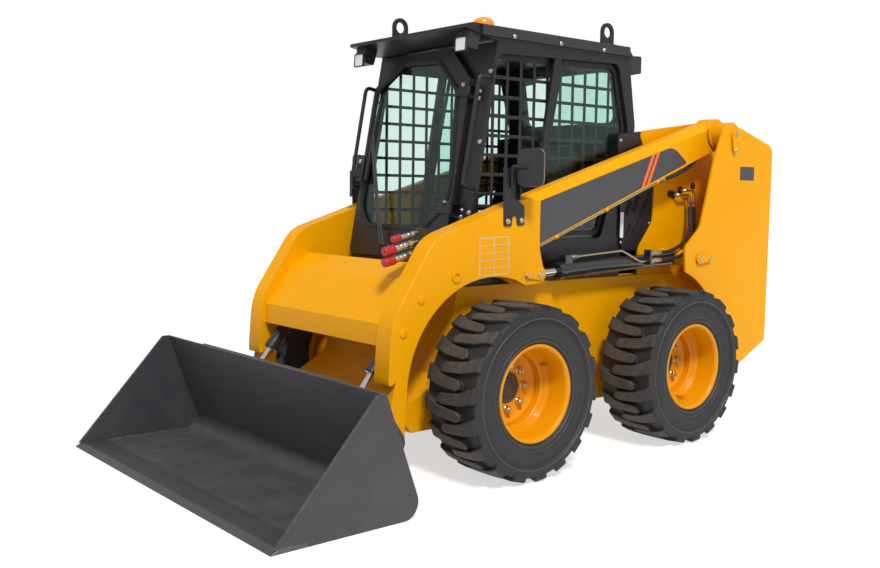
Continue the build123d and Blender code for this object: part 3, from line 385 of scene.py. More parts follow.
def finish(name, color, rough, metal=0.0, coat=0.0, tone=0.08, dust=0.0, dust_and_sheen_color=(0.34, 0.29, 0.22),
           ledges=0.0, height=1.3, edge=0.0, edge_color=(0.30, 0.28, 0.26), edge_radius=0.003,
           grain=80.0, bump=0.0, fine=0.4, spread=0.0, specular=0.5):
    """Principled finish.

    colour = mix(mix(colour x tone, dust and sheen colour, dust), edge colour, edge mask), where both masks are dust and
    rubbed wear, and on the roof rail a painted highlight; roughness = rough + spread x (speckle - 0.5) + 0.35 x dust;
    normal = bump(grain) on a rounded edge.
    """
    mat = bpy.data.materials.new(name)
    mat.use_nodes = True
    tree = mat.node_tree
    shader = tree.nodes["Principled BSDF"].inputs
    for label, value in (("Metallic", metal), ("Coat Weight", coat), ("Specular IOR Level", specular)):
        shader[label].default_value = value
    brightness = placed(tree, TONE, Scale=1.7, Amount=tone)["Tone"]
    tint = add_node(tree, "VectorMath", {0: color, "Scale": brightness}, operation="SCALE").outputs["Vector"]
    grains = placed(tree, GRAIN, Scale=grain, Fine=fine)
    level = calc(tree, "MULTIPLY", calc(tree, "SUBTRACT", grains["Speckle"], 0.5), spread)
    level = calc(tree, "ADD", level, rough)
    if dust or ledges:
        mask = placed(tree, DUST_AND_TOP_SHEEN, Height=height, Amount=dust, Ledges=ledges)["Mask"]
        tint = mix_color(tree, mask, tint, dust_and_sheen_color)
        level = calc(tree, "ADD", level, calc(tree, "MULTIPLY", mask, 0.35), clamp=True)
    edges = placed(tree, EDGE, Radius=edge_radius, Break=edge)
    if edge:
        tint = mix_color(tree, edges["Mask"], tint, edge_color)
    normal = edges["Normal"]
    if bump:
        normal = add_node(tree, "Bump", {"Strength": 1.0, "Distance": bump, "Height": grains["Height"],
                                         "Normal": normal}).outputs["Normal"]
    for socket, label in ((tint, "Base Color"), (level, "Roughness"), (normal, "Normal")):
        tree.links.new(socket, shader[label])
    return mat


def glass(name, color, rough=0.02):
    """Safety glass: a clear Principled shader tinted by its colour."""
    mat = bpy.data.materials.new(name)
    mat.use_nodes = True
    shader = mat.node_tree.nodes["Principled BSDF"].inputs
    for label, value in (("Base Color", (*color, 1)), ("Roughness", rough), ("Transmission Weight", 1.0), ("IOR", 1.3)):
        shader[label].default_value = value
    return mat


body_yellow = finish("body_yellow", (0.80, 0.345, 0.0), 0.40, coat=0.03, tone=0.12, dust=0.10, height=0.8,
                     dust_and_sheen_color=(0.40, 0.18, 0.01), specular=0.12,
                     edge=0.55, edge_color=(0.42, 0.22, 0.05), grain=220, bump=0.00008, spread=0.16)
rim_yellow = finish("rim_yellow", (0.72, 0.275, 0.0), 0.30, coat=0.06, tone=0.16, dust=0.18, height=1.0,
                    dust_and_sheen_color=(0.33, 0.14, 0.01), specular=0.22, edge=0.5, edge_color=(0.30, 0.16, 0.04),
                    grain=220, bump=0.00008, spread=0.2)
cab_black = finish("cab_black", (0.0115, 0.0105, 0.0135), 0.38, tone=0.3, dust=0.03, ledges=0.03, height=2.2,
                   edge=0.5, edge_color=(0.12, 0.12, 0.13), grain=320, bump=0.0001, spread=0.22)
# The rail is near-black; its up-facing faces and its edges are painted pale grey as a satin highlight, through the
# ledge and edge shares.
roof_black_painted_highlight = finish("roof_black_painted_highlight", (0.028, 0.027, 0.03), 0.38, tone=0.3, ledges=0.28, height=2.2,
                   dust_and_sheen_color=(0.28, 0.27, 0.27), edge=0.7, edge_color=(0.2, 0.2, 0.2), grain=320,
                   bump=0.0001, spread=0.22)
bucket_charcoal = finish("bucket_charcoal", (0.040, 0.040, 0.046), 0.46, tone=0.4, dust=0.22, ledges=0.10,
                         height=0.7, dust_and_sheen_color=(0.17, 0.16, 0.155), edge=0.9,
                         edge_color=(0.30, 0.29, 0.28), edge_radius=0.004, grain=150, bump=0.0002,
                         spread=0.3)
steel_edge = finish("worn_steel", (0.13, 0.13, 0.135), 0.42, metal=0.8, tone=0.5, dust=0.04, height=0.3,
                    edge=0.8, edge_color=(0.5, 0.48, 0.45), grain=120, bump=0.0002, spread=0.4)
tyre_black = finish("tyre_black", (0.014, 0.0135, 0.014), 0.62, tone=0.5, dust=0.30, ledges=0.12, height=1.2,
                    dust_and_sheen_color=(0.075, 0.069, 0.064), edge=0.6, edge_color=(0.085, 0.08, 0.075),
                    edge_radius=0.005, grain=260, bump=0.0003, spread=0.2)
# Lighter rubber for the tyre walls' ridges: it paints their highlight rings.
tyre_painted_highlight = finish("tyre_painted_highlight", (0.055, 0.052, 0.050), 0.42, tone=0.5, grain=200, bump=0.0002, spread=0.2)
iron_black = finish("iron_black", (0.02, 0.02, 0.021), 0.5, tone=0.3, dust=0.3, height=1.4, grain=180,
                    bump=0.0003, spread=0.3)
barrel_black = finish("barrel_black", (0.045, 0.043, 0.045), 0.20, metal=0.55, coat=0.6, tone=0.2, dust=0.04,
                      height=1.4, grain=200, bump=0.00005, spread=0.1)
hard_chrome = finish("hard_chrome", (0.72, 0.72, 0.74), 0.09, metal=1.0, tone=0.04, grain=900, spread=0.06)
zinc = finish("yellow_zinc", (0.58, 0.50, 0.34), 0.3, metal=1.0, tone=0.3, grain=240, bump=0.0001,
              spread=0.3)
bright_steel = finish("bright_steel", (0.60, 0.60, 0.61), 0.25, metal=1.0, tone=0.15, grain=400, spread=0.25)
rubber_black = finish("hose_black", (0.015, 0.015, 0.015), 0.55, tone=0.2, dust=0.1, height=1.8, grain=400,
                      bump=0.0002, spread=0.2)
vinyl_black = finish("seat_vinyl", (0.022, 0.022, 0.024), 0.5, tone=0.2, grain=520, bump=0.0006, fine=0.8,
                     spread=0.2)
plastic_black = finish("grained_plastic", (0.02, 0.02, 0.021), 0.5, tone=0.15, grain=600, bump=0.0004,
                       spread=0.2)
amber = finish("amber_lens", (0.93, 0.30, 0.01), 0.18, coat=0.5, tone=0.1, grain=200, spread=0.05)
cap_red = finish("cap_red", (0.42, 0.012, 0.016), 0.4, tone=0.15, grain=300, bump=0.0001, spread=0.2)
mirror_glass = finish("mirror_glass", (0.72, 0.75, 0.77), 0.04, metal=1.0, tone=0.02, grain=50, spread=0.02)
# Near-black sheet for the vent slots: painted shade for the dark space behind each slot.
slot_painted_shade = finish("deep_shadow", (0.003, 0.003, 0.003), 0.9, tone=0.1, grain=50, spread=0.02)
tinted = glass("tinted_glass", (0.66, 0.86, 0.80))

BY_NODE = {
    "cab_frame": cab_black, "side_screens": cab_black, "cab_door": cab_black, "grab_handles": cab_black,
    "lap_bar": cab_black, "cab_floor": iron_black, "lifting_eyes": cab_black, "mirrors": cab_black,
    "bucket": bucket_charcoal, "cutting_edge": steel_edge, "attachment_frame": bucket_charcoal,
    "cab_windows": tinted, "cab_door_window": tinted, "engine": iron_black, "axle_hubs": iron_black,
    "seat": vinyl_black, "operator_controls": plastic_black, "work_lights": plastic_black,
    "beacon": amber, "hydraulic_couplers": zinc,
}


def finish_for(label):
    """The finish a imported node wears, by its name and then by what kind of piece it is."""
    if label in BY_NODE:
        return BY_NODE[label]
    for ending, mat in (("_tyre", tyre_black), ("_rim", rim_yellow), ("_barrel", barrel_black),
                        ("_rod", hard_chrome)):
        if label.endswith(ending):
            return mat
    return body_yellow


for label, piece in nodes.items():
    for index in range(len(piece.material_slots)):
        piece.material_slots[index].material = finish_for(label)
print("finishes:", len(bpy.data.materials))
# %% [markdown]
# ## Small round things by the dozen
# Bolts, nuts and washers are all short stacks of rings: a ring is twelve points on a circle, and a
# hexagon is the same ring with every other point pulled in. One function lofts the stack and copies it
# to many places at once, which costs far less than an object for each bolt. Hoses and wires are rings
# too, strung along a smooth line through a few chosen points.

# %% Stacks of rings
def frame_of(axis):
    """Two unit vectors square to an axis and to each other."""
    axis = np.asarray(axis, float) / np.linalg.norm(axis)
    aside = np.cross(axis, (0.0, 0.0, 1.0) if abs(axis[2]) < 0.9 else (1.0, 0.0, 0.0))
    aside /= np.linalg.norm(aside)
    return axis, aside, np.cross(axis, aside)


def stacks(name, spots, axes, rings, material, body, sides=12):
    """Copies of one stack of rings at many spots.

    A ring is (height, radius), with a third value True if it is hexagonal, and point k = spot +
    height x axis + radius x f_k x (cos, sin)(2 pi k / sides), where f_k is 1, or cos 30 degrees at every
    other point of a hexagonal ring.
    """
    spots = np.asarray(spots, float).reshape(-1, 3)
    axes = np.broadcast_to(np.asarray(axes, float), spots.shape)
    angle = np.arange(sides) * 2 * np.pi / sides
    sheet = []
    for height, radius, *hexed in rings:
        pull = np.where(np.arange(sides) % 2 == 0, 1.0, math.cos(math.radians(30))) if hexed else 1.0
        sheet.append(np.stack([np.full(sides, height), radius * pull * np.cos(angle),
                               radius * pull * np.sin(angle)], -1))
    sheet = np.concatenate(sheet)
    bases = np.array([frame_of(axis) for axis in axes])
    points = spots[:, None] + np.einsum("pk,nkx->npx", sheet, bases)
    faces = [many(group, len(spots), len(sheet)) for group in closed_faces(len(rings), sides)]
    return sharpen(solid(name, points, faces, material, body), 30)


def bolt_rings(r):
    """Washer and chamfered hexagonal head of a bolt; r is the radius to the head's corners."""
    return [(-0.002, 1.5 * r), (0.22 * r, 1.5 * r), (0.3 * r, 1.38 * r),
            (0.3 * r, r, True), (0.98 * r, r, True), (1.12 * r, 0.84 * r)]


def smooth_line(points, per_run=8):
    """Catmull-Rom line: p(t) = sum of the cubic's four weights x the four points round each run."""
    points = np.asarray(points, float)
    ends = np.concatenate([2 * points[:1] - points[1:2], points, 2 * points[-1:] - points[-2:-1]])
    t = np.linspace(0, 1, per_run, endpoint=False)[:, None, None]
    a, b, c, d = ends[:-3], ends[1:-2], ends[2:-1], ends[3:]
    runs = 0.5 * (2 * b + (c - a) * t + (2 * a - 5 * b + 4 * c - d) * t ** 2
                  + (3 * b - a - 3 * c + d) * t ** 3)
    line = runs.transpose(1, 0, 2).reshape(-1, 3)
    return np.concatenate([line, points[-1:]])


def tube_sheet(line, radius, sides=12, lean=(0.13, 0.31, 0.94)):
    """Rings of radius r square to a line: point = line + r (cos a u + sin a v), u and v square to its run."""
    run = np.gradient(line, axis=0)
    run /= np.linalg.norm(run, axis=1, keepdims=True)
    u = np.cross(run, lean)
    u /= np.linalg.norm(u, axis=1, keepdims=True)
    v = np.cross(run, u)
    angle = np.arange(sides) * 2 * np.pi / sides
    radius = np.broadcast_to(np.asarray(radius, float), len(line))[:, None, None]
    ring = np.cos(angle)[None, :, None] * u[:, None] + np.sin(angle)[None, :, None] * v[:, None]
    return line[:, None] + radius * ring


def tube(name, points, radius, material, body, sides=12, per_run=8, straight=False, lean=(0.13, 0.31, 0.94)):
    """Round bar or hose along a line through points, with flat ends."""
    line = np.asarray(points, float) if straight else smooth_line(points, per_run)
    return lofted(name, tube_sheet(line, radius, sides, lean), material, body, 50)


# %% [markdown]
# ## Wheels that dig
# A loader tyre is a smooth carcass with two rows of bars. Each bar starts past the middle of the tread,
# bends once and runs out over the shoulder, where it ends in a block on the wall; the other row is its
# mirror image, half a pitch round. A subdivided cube would blur those blocks, so carcass and bars are
# written in wheel terms, that is across (y), around (angle) and out (radius), and turned into points at
# the end. The colour knows the radius through a UV map: only the bars' worn tops take on dry earth.

# %% Tyres
BAR_COUNT = 18
PITCH_DEG = 360 / BAR_COUNT
CARCASS = np.array([                       # across, out: from the outer bead over the tread to the middle
    (0.101, 0.203), (0.133, 0.203), (0.135, 0.219), (0.141, 0.228), (0.148, 0.233), (0.1495, 0.239),
    (0.1480, 0.245), (0.1500, 0.262), (0.1530, 0.284), (0.1535, 0.303), (0.1505, 0.318), (0.1490, 0.324),
    (0.1560, 0.330), (0.1600, 0.336), (0.1600, 0.344), (0.1570, 0.352), (0.1560, 0.362), (0.148, 0.3735),
    (0.120, 0.3755), (0.06, 0.3725), (0.0, 0.3715),
])
BAR_ACROSS = np.array([-0.066, -0.046, 0.012, 0.074, 0.118, 0.150, 0.1585, 0.1605, 0.158])
BAR_TURN = np.array([-0.6, 0.0, 0.6, 1.7, 4.2, 5.6, 5.9, 6.0, 6.0])
BAR_HALF = np.array([1.5, 3.5, 3.7, 4.0, 4.6, 5.2, 5.1, 4.9, 4.5])
BAR_TOP = np.array([0.3955, 0.3972, 0.398, 0.3975, 0.3958, 0.3925, 0.383, 0.366, 0.351])
BAR_FOOT = np.array([0.366, 0.366, 0.366, 0.365, 0.360, 0.350, 0.348, 0.346, 0.345])
BAR_FOOT_ACROSS = np.array([-0.070, -0.050, 0.012, 0.074, 0.118, 0.146, 0.150, 0.152, 0.152])


def wheel_points(across, angle, out, centre, side):
    """Points at (x, y, z) = centre + (out cos a, side x across, out sin a)."""
    return np.stack([centre[0] + out * np.cos(angle), centre[1] + side * across,
                     centre[2] + out * np.sin(angle)], -1)


def carcass_sheet(centre, side, around=144):
    """Surface of revolution of the carcass profile and its mirror image, closed on itself."""
    profile = np.concatenate([CARCASS, (CARCASS * (-1, 1))[-2::-1]])
    angle = np.arange(around)[:, None] * 2 * np.pi / around
    across, out = profile[None, :, 0], profile[None, :, 1]
    shape = (around, len(profile))
    return wheel_points(np.broadcast_to(across, shape), np.broadcast_to(angle, shape),
                        np.broadcast_to(out, shape), centre, side), np.broadcast_to(out, shape)


def bar_sheet(centre, side, mirror, phase):
    """All bars of one row.

    Station i crosses the bar with eight points: foot, wall, shoulder, top | top, shoulder, wall, foot, at
    angle = phase + turn_i + (-1 | 1) x half_i, the foot a little wider and the top's corners cut.
    """
    start = (np.arange(BAR_COUNT) * PITCH_DEG + phase)[:, None, None]
    wide = np.array([-1.28, -1.06, -1.0, -0.9, 0.9, 1.0, 1.06, 1.28])
    rise = np.array([0.0, 0.5, 0.90, 1.0, 1.0, 0.90, 0.5, 0.0])
    angle = np.radians(start + BAR_TURN[None, :, None] + BAR_HALF[None, :, None] * wide)
    out = BAR_FOOT[None, :, None] + (BAR_TOP - BAR_FOOT)[None, :, None] * rise
    across = BAR_FOOT_ACROSS[None, :, None] + (BAR_ACROSS - BAR_FOOT_ACROSS)[None, :, None] * rise
    shape = angle.shape
    out, across = np.broadcast_to(out, shape), np.broadcast_to(across, shape)
    return wheel_points(across * (-1 if mirror else 1), angle, out, centre, side), out


def make_tyre(name, centre, side, body, material):
    """Carcass and two rows of bars as one object; its UV map holds (angle / 360, radius in metres)."""
    skin, skin_out = carcass_sheet(centre, side)
    rows, cols = skin_out.shape
    faces = [grid_faces(rows, cols, wrap_rows=True, wrap_cols=True)]
    points, outs, offset = [skin.reshape(-1, 3)], [skin_out.ravel()], skin_out.size
    for mirrored, phase in ((False, 0.0), (True, PITCH_DEG / 2)):
        bars, bar_out = bar_sheet(centre, side, mirrored, phase)
        stations, wide = bars.shape[1:3]
        size = stations * wide
        walls = many(grid_faces(stations, wide), BAR_COUNT, size) + offset
        under = np.stack([np.arange(stations - 1) * wide, np.arange(1, stations) * wide,
                          np.arange(1, stations) * wide + wide - 1, np.arange(stations - 1) * wide + wide - 1], -1)
        ends = np.array([np.arange(wide), size - 1 - np.arange(wide)])
        faces += [walls, many(under, BAR_COUNT, size) + offset, many(ends, BAR_COUNT, size) + offset]
        points.append(bars.reshape(-1, 3))
        outs.append(bar_out.ravel())
        offset += bar_out.size
    piece = solid(name, np.concatenate(points), faces, material, body)
    mesh = piece.data
    place = np.empty(len(mesh.vertices) * 3)
    mesh.vertices.foreach_get("co", place)
    place = place.reshape(-1, 3)
    corner = np.empty(len(mesh.loops), dtype=np.int32)
    mesh.loops.foreach_get("vertex_index", corner)
    radius = np.hypot(place[:, 0] - centre[0], place[:, 2] - centre[2])
    turn = np.arctan2(place[:, 2] - centre[2], place[:, 0] - centre[0]) / (2 * np.pi)
    layer = mesh.uv_layers.new(name="round_and_out")
    layer.data.foreach_set("uv", np.stack([turn, radius], -1)[corner].ravel())
    return sharpen(piece, 28)


def earthy_tops(mat, earth, low, high, amount):
    """Mix earth into a finish where the UV map's radius lies from low to high, broken up by noise."""
    tree = mat.node_tree
    color = tree.nodes["Principled BSDF"].inputs["Base Color"]
    before = color.links[0].from_socket
    uv = add_node(tree, "UVMap", uv_map="round_and_out").outputs[0]
    tops = ramp(tree, add_node(tree, "SeparateXYZ", {0: uv}).outputs["Y"], low, high)
    patch = ramp(tree, noise(tree, object_place(tree), 22.0, 6.0, 0.7), 0.3, 0.62, 0.25, 1.0)
    mask = calc(tree, "MULTIPLY", calc(tree, "MULTIPLY", tops, patch), amount)
    tree.links.new(mix_color(tree, mask, before, earth), color)


earthy_tops(tyre_black, (0.090, 0.079, 0.070), 0.3885, 0.3965, 0.75)
WHEELS = []
for end in ("front", "rear"):
    for label, side in SIDES:
        tyre, body = f"{end}_{label}_tyre", f"{end}_{label}_wheel"
        centre = np.mean(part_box(tyre), axis=0)
        WHEELS.append((f"{end}_{label}", side, body, centre))
        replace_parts(make_tyre(f"{tyre}_lugged", centre, side, body, tyre_black), tyre)
print("tyres:", len(WHEELS), "bars on each:", 2 * BAR_COUNT)

# %% [markdown]
# ## Nuts, hubs and valves
# The disc sits deep in the rim, a little past the tyre's middle. Eight nuts hold it on the hub, whose
# dark end shows in the centre. They turn with the wheel, so they ride on the wheel's body.

# %% Wheel nuts
STUD_CIRCLE, STUDS, DISC_FACE, VALVE_CIRCLE, VALVE_Y = 0.1016, 8, -0.047, 0.185, 0.028
turn = np.arange(STUDS) * 2 * np.pi / STUDS
stud_ring = np.stack([np.sin(turn), np.zeros(STUDS), np.cos(turn)], -1) * STUD_CIRCLE
for name, side, body, centre in WHEELS:
    face = centre + np.array([0, side * DISC_FACE, 0])
    axis = (0, side, 0)
    stacks(f"{name}_wheel_nuts", face + stud_ring, axis, [
        (-0.001, 0.019), (0.003, 0.019), (0.008, 0.0145), (0.008, 0.0155, True),
        (0.021, 0.0155, True), (0.023, 0.0125), (0.023, 0.0085), (0.032, 0.0085),
        (0.033, 0.007),
    ], zinc, body)
    stacks(f"{name}_hub_end", face, axis, [
        (-0.004, 0.073), (0.002, 0.073), (0.0035, 0.071), (0.004, 0.046),
        (0.009, 0.043), (0.010, 0.028),
    ], iron_black, body, sides=48)
    angle = math.radians(-104 if name.startswith("rear") else 148)
    away = np.array([math.cos(angle), 0, math.sin(angle)])
    stacks(f"{name}_valve", centre + VALVE_CIRCLE * away + (0, side * VALVE_Y, 0), np.array(axis) - 0.1 * away, [
        (-0.02, 0.008), (0.008, 0.0065), (0.010, 0.0045), (0.024, 0.0045),
        (0.024, 0.0055), (0.032, 0.0055),
    ], zinc, body)
print("wheel nuts:", STUDS * len(WHEELS))
# %% [markdown]
# ## Paint marks without words
# The arms carry a dark panel with two slanting stripes, and the left one a framed table; each tower has a
# small plate. All of them are blank here. A mark is a thin sheet cut to its outline and laid a fraction
# of a millimetre off the steel, so it has its own edge and its own sheen; painting it into the arm's
# material would need the arm's own map.

# %% Flat marks
def rounded(corners, radii, steps=6):
    """Outline through corners (n, 2), each cut by a quadratic curve that starts its radius before it."""
    corners = np.asarray(corners, float)
    radii = np.broadcast_to(np.asarray(radii, float), len(corners))[:, None]
    back = np.roll(corners, 1, axis=0) - corners
    ahead = np.roll(corners, -1, axis=0) - corners
    start = corners + radii * back / np.linalg.norm(back, axis=1, keepdims=True)
    stop = corners + radii * ahead / np.linalg.norm(ahead, axis=1, keepdims=True)
    t = np.linspace(0, 1, steps)[None, :, None]
    curve = (1 - t) ** 2 * start[:, None] + 2 * t * (1 - t) * corners[:, None] + t ** 2 * stop[:, None]
    return curve.reshape(-1, 2)


def on_side(side, y):
    """Maps (x, z) of a side view and a height off the face to a point on the plane y, left or right."""
    return lambda flat, off: np.stack([flat[:, 0], np.full(len(flat), side * (y + off)), flat[:, 1]], -1)


def on_plane(origin, right, up):
    """Maps (a, b) on a plane and a height off it to origin + a right + b up + off (right x up)."""
    origin, right, up = (np.asarray(v, float) for v in (origin, right, up))
    right, up = right / np.linalg.norm(right), up / np.linalg.norm(up)
    out = np.cross(right, up)
    return lambda flat, off: origin + flat[:, :1] * right + flat[:, 1:] * up + off * out


def slab(name, flat, place, low, high, material, body):
    """Outline (n, 2) raised from low to high off a face, closed by its two caps."""
    flat = np.asarray(flat, float)
    return lofted(name, np.stack([place(flat, low), place(flat, high)]), material, body)


def frame_strip(name, outer, inner, place, low, high, material, body):
    """Ring between two outlines of equal count, raised from low to high: a gasket, bezel or border."""
    outer, inner = np.asarray(outer, float), np.asarray(inner, float)
    sheet = np.stack([place(outer, low), place(outer, high), place(inner, high), place(inner, low)])
    faces = grid_faces(4, len(outer), wrap_rows=True, wrap_cols=True)
    return sharpen(solid(name, sheet, faces, material, body), 40)


BEAM_TOP = (-1.354, 1.703), (0.218, 1.235)      # x, z at the beam's rear and front
BEAM_FOOT = (-1.344, 1.531), (0.066, 1.028)
BEVEL_DROP = 0.0376                             # from the top edge down to the bevel's foot


def beam_z(x, low):
    """Height of the lift arm's beam at x: its lower edge, or the foot of the bevel along its top."""
    (x0, z0), (x1, z1) = BEAM_FOOT if low else BEAM_TOP
    return z0 + (x - x0) * (z1 - z0) / (x1 - x0) - (0 if low else BEVEL_DROP)


decal_grey = finish("decal_grey", (0.05, 0.05, 0.056), 0.42, tone=0.2, dust=0.12, height=1.9, grain=300,
                    spread=0.2)
decal_orange = finish("decal_orange", (0.90, 0.13, 0.004), 0.36, coat=0.3, tone=0.1, grain=300, spread=0.1)
label_white = finish("label_white", (0.78, 0.78, 0.76), 0.45, tone=0.1, grain=300, spread=0.1)

BEAM_FACE, NECK_FACE = 0.587, 0.595
STRIPES = (-0.842, -0.800)
front, back = 0.058, -1.03
for label, side in SIDES:
    face = on_side(side, BEAM_FACE)
    panel = rounded([
        (front, beam_z(front, True) + 0.006), (front, beam_z(front, False) - 0.004),
        (back + 0.075, beam_z(back + 0.075, False) - 0.012),
        (back - 0.055, beam_z(back - 0.055, True) + 0.012),
    ], [0.006, 0.006, 0.055, 0.03])
    slab(f"{label}_arm_panel", panel, face, 0.0003, 0.0008, decal_grey, "lift_arms")
    for number, x in enumerate(STRIPES):
        stripe = [(x, beam_z(x, False) - 0.010), (x + 0.027, beam_z(x + 0.027, False) - 0.010),
                  (x + 0.108, beam_z(x + 0.108, True) + 0.010), (x + 0.081, beam_z(x + 0.081, True) + 0.010)]
        slab(f"{label}_arm_stripe_{number}", stripe, face, 0.0006, 0.0012, decal_orange, "lift_arms")

neck = on_side(1, NECK_FACE)
TABLE = np.array([(0.268, 0.905), (0.452, 0.900), (0.454, 1.071), (0.272, 1.077)])
BORDER, RULES = 0.0022, (0.2, 0.4, 0.6, 0.8)
PRINT = 0.0003, 0.0008, label_white, "lift_arms"     # low, high, finish and body of the table's lines
frame_strip("arm_table_border", TABLE, TABLE - np.sign(TABLE - TABLE.mean(axis=0)) * BORDER, neck, *PRINT)
left_foot, right_foot, right_top, left_top = TABLE
a, b = (left_foot + right_foot) / 2, (left_top + right_top) / 2
half = np.array([0.001, 0])
slab("arm_table_upright_0", [a - half, a + half, b + half, b - half], neck, *PRINT)
half = np.array([0, 0.0007])
for number, share in enumerate(RULES):
    a, b = left_foot + (left_top - left_foot) * share, right_foot + (right_top - right_foot) * share
    slab(f"arm_table_rule_{number}", [a - half, b - half, b + half, a + half], neck, *PRINT)
print("marks on the arms:", 2 * (1 + len(STRIPES)) + 2 + len(RULES))

# %% Reflectors and tower plates
TOWER_FACE, PANEL_FACE = 0.700, 0.4620
for label, side in SIDES:
    corners = rounded([(-1.420, 1.438), (-1.558, 1.438), (-1.558, 1.363), (-1.420, 1.363)], 0.006)
    slab(f"{label}_tower_plate", corners, on_side(side, TOWER_FACE), 0.0003, 0.0014, decal_grey, "chassis")
    strip = rounded([(-0.707, 1.045), (-0.681, 1.045), (-0.681, 1.181), (-0.707, 1.181)], 0.004)
    slab(f"{label}_reflector", strip, on_side(side, PANEL_FACE), 0.0004, 0.003, label_white, "chassis")
# %% [markdown]
# ## The door and the cab's front
# The front leans back, so everything on it is placed on one slanted plane with its own two rulers: right
# and up. The glass sits in a rubber channel that stands a little proud, the latch is a deep box on the
# handle side, and the wiper's blade hangs on two thin bars that share a pivot plate.

# %% Door trim
LEAN = math.radians(10.65)
FRONT_FOOT = np.array([0.463, 0.0, 0.900])
FRONT_UP = np.array([-math.sin(LEAN), 0.0, math.cos(LEAN)])
FRONT_OUT = np.array([math.cos(LEAN), 0.0, math.sin(LEAN)])
FRONT_RISE = 1.107
cab_front = on_plane(FRONT_FOOT, (0.0, 1.0, 0.0), FRONT_UP)


def from_height(y, z):
    """(y, height) on the cab's front to (right, up) on its plane: up = (z - foot) / cos lean."""
    return np.array([y, (z - FRONT_FOOT[2]) / math.cos(LEAN)])


def window_line(g):
    """Door window's ten-cornered outline drawn out by g; lowered numbers of g keep the slants' widths alike."""
    right, left, top = -0.425, 0.335, FRONT_RISE
    corners = [
        (right + 0.115 - g * 0.4, 0.205 - g), (left - 0.185 + g * 0.4, 0.197 - g),
        (left - 0.062 + g * 0.7, 0.296 - g * 0.7), (left - 0.023 + g, 0.390),
        (left - 0.079 + g, top - 0.227 + g * 0.4), (left - 0.255 + g * 0.4, top - 0.068 + g),
        (right + 0.245 - g * 0.4, top - 0.056 + g), (right + 0.040 - g * 0.7, top - 0.182 + g * 0.7),
        (right + 0.027 - g, top - 0.387), (right + 0.035 - g, 0.300 - g * 0.4),
    ]
    return rounded(corners, 0.035)


gasket_black = finish("gasket_rubber", (0.012, 0.012, 0.012), 0.5, tone=0.1, grain=400, bump=0.0001, spread=0.1)
DOOR_BODY = "cab_door"
frame_strip("door_gasket", window_line(0.012), window_line(-0.013), cab_front, -0.003, 0.004, gasket_black,
            DOOR_BODY)
frame_strip("door_gasket_bead", window_line(0.004), window_line(-0.004), cab_front, 0.003, 0.0075, gasket_black,
            DOOR_BODY)


def on_front(y, up, off=0.0):
    """Point on the cab's front: y to the left, up along the slant and off it."""
    return FRONT_FOOT + np.array([0, y, 0]) + up * FRONT_UP + off * FRONT_OUT


latch = rounded([(-0.425, 0.432), (-0.366, 0.432), (-0.366, 0.568), (-0.425, 0.568)], 0.014)
slab("latch_cover", latch, cab_front, 0.034, 0.038, plastic_black, DOOR_BODY)
stacks("latch_button", [on_front(-0.395, 0.535, 0.037)], FRONT_OUT, [
    (0, 0.012), (0.007, 0.0115), (0.008, 0.0095)], bright_steel, DOOR_BODY, sides=20)
pull = [on_front(-0.395, up, off) for up, off in ((0.452, 0.036), (0.452, 0.062), (0.506, 0.062), (0.506, 0.036))]
tube("door_pull", pull, 0.006, plastic_black, DOOR_BODY, straight=True, lean=(0, 1, 0.02))

WIPER_FEET = (-0.126, 0.110), (-0.100, 0.107)
stacks("wiper_pivot", [on_front(*foot) for foot in WIPER_FEET], FRONT_OUT, [
    (0, 0.016), (0.012, 0.015), (0.014, 0.010), (0.032, 0.009), (0.036, 0.006)],
    plastic_black, DOOR_BODY, sides=16)
BLADE_LOW, BLADE_HIGH = from_height(-0.355, 1.330), from_height(-0.323, 1.755)
middle = (BLADE_LOW + BLADE_HIGH) / 2
for number, (foot, meet) in enumerate(zip(WIPER_FEET, (-0.030, 0.014))):
    third = (2 * np.array(foot) + middle) / 3
    tube(f"wiper_arm_{number}", [on_front(*foot, 0.030), on_front(*third, 0.034),
                                 on_front(middle[0] + 0.004, middle[1] + meet, 0.026)],
         0.0058, plastic_black, DOOR_BODY, sides=8)
tube("wiper_blade_spine", [on_front(*BLADE_LOW, 0.020), on_front(*middle, 0.026), on_front(*BLADE_HIGH, 0.020)],
     0.0075, plastic_black, DOOR_BODY, sides=8)
half = np.array([0.006, 0])
blade = [BLADE_LOW - half, BLADE_LOW + half, BLADE_HIGH + half, BLADE_HIGH - half]
slab("wiper_blade", blade, cab_front, 0.0078, 0.019, gasket_black, DOOR_BODY)

FRAME_OFF = -0.034                              # the cab frame's front lies this far behind the door's
hinge_screws = [on_front(y, up + shift, off) for up in (0.300, FRONT_RISE - 0.239)
                for y, shifts, off in ((0.292, (0.004, 0.036), 0.0), (0.378, (-0.026, 0.006), FRAME_OFF))
                for shift in shifts]
stacks("door_hinge_screws", hinge_screws, FRONT_OUT, bolt_rings(0.008), bright_steel, "chassis")
stacks("post_screws", [on_front(*from_height(0.432, z), FRAME_OFF) for z in (1.19, 1.52, 1.85)], FRONT_OUT,
       bolt_rings(0.008), bright_steel, "chassis")
handle_feet = [on_front(side * 0.445, up, FRAME_OFF) for _, side in SIDES for up in (0.406, FRONT_RISE - 0.174)]
stacks("handle_feet", handle_feet, FRONT_OUT, [
    (-0.002, 0.022), (0.005, 0.022), (0.006, 0.020)], cab_black, "chassis", sides=20)

# %% [markdown]
# ## Lamps and the beacon
# Each work lamp is a black housing with a lens set in its face. The lens is a pale gloss rather than
# clear glass, because a clear one over black would look like a hole. The beacon's dome is ribbed amber
# plastic on a black foot.

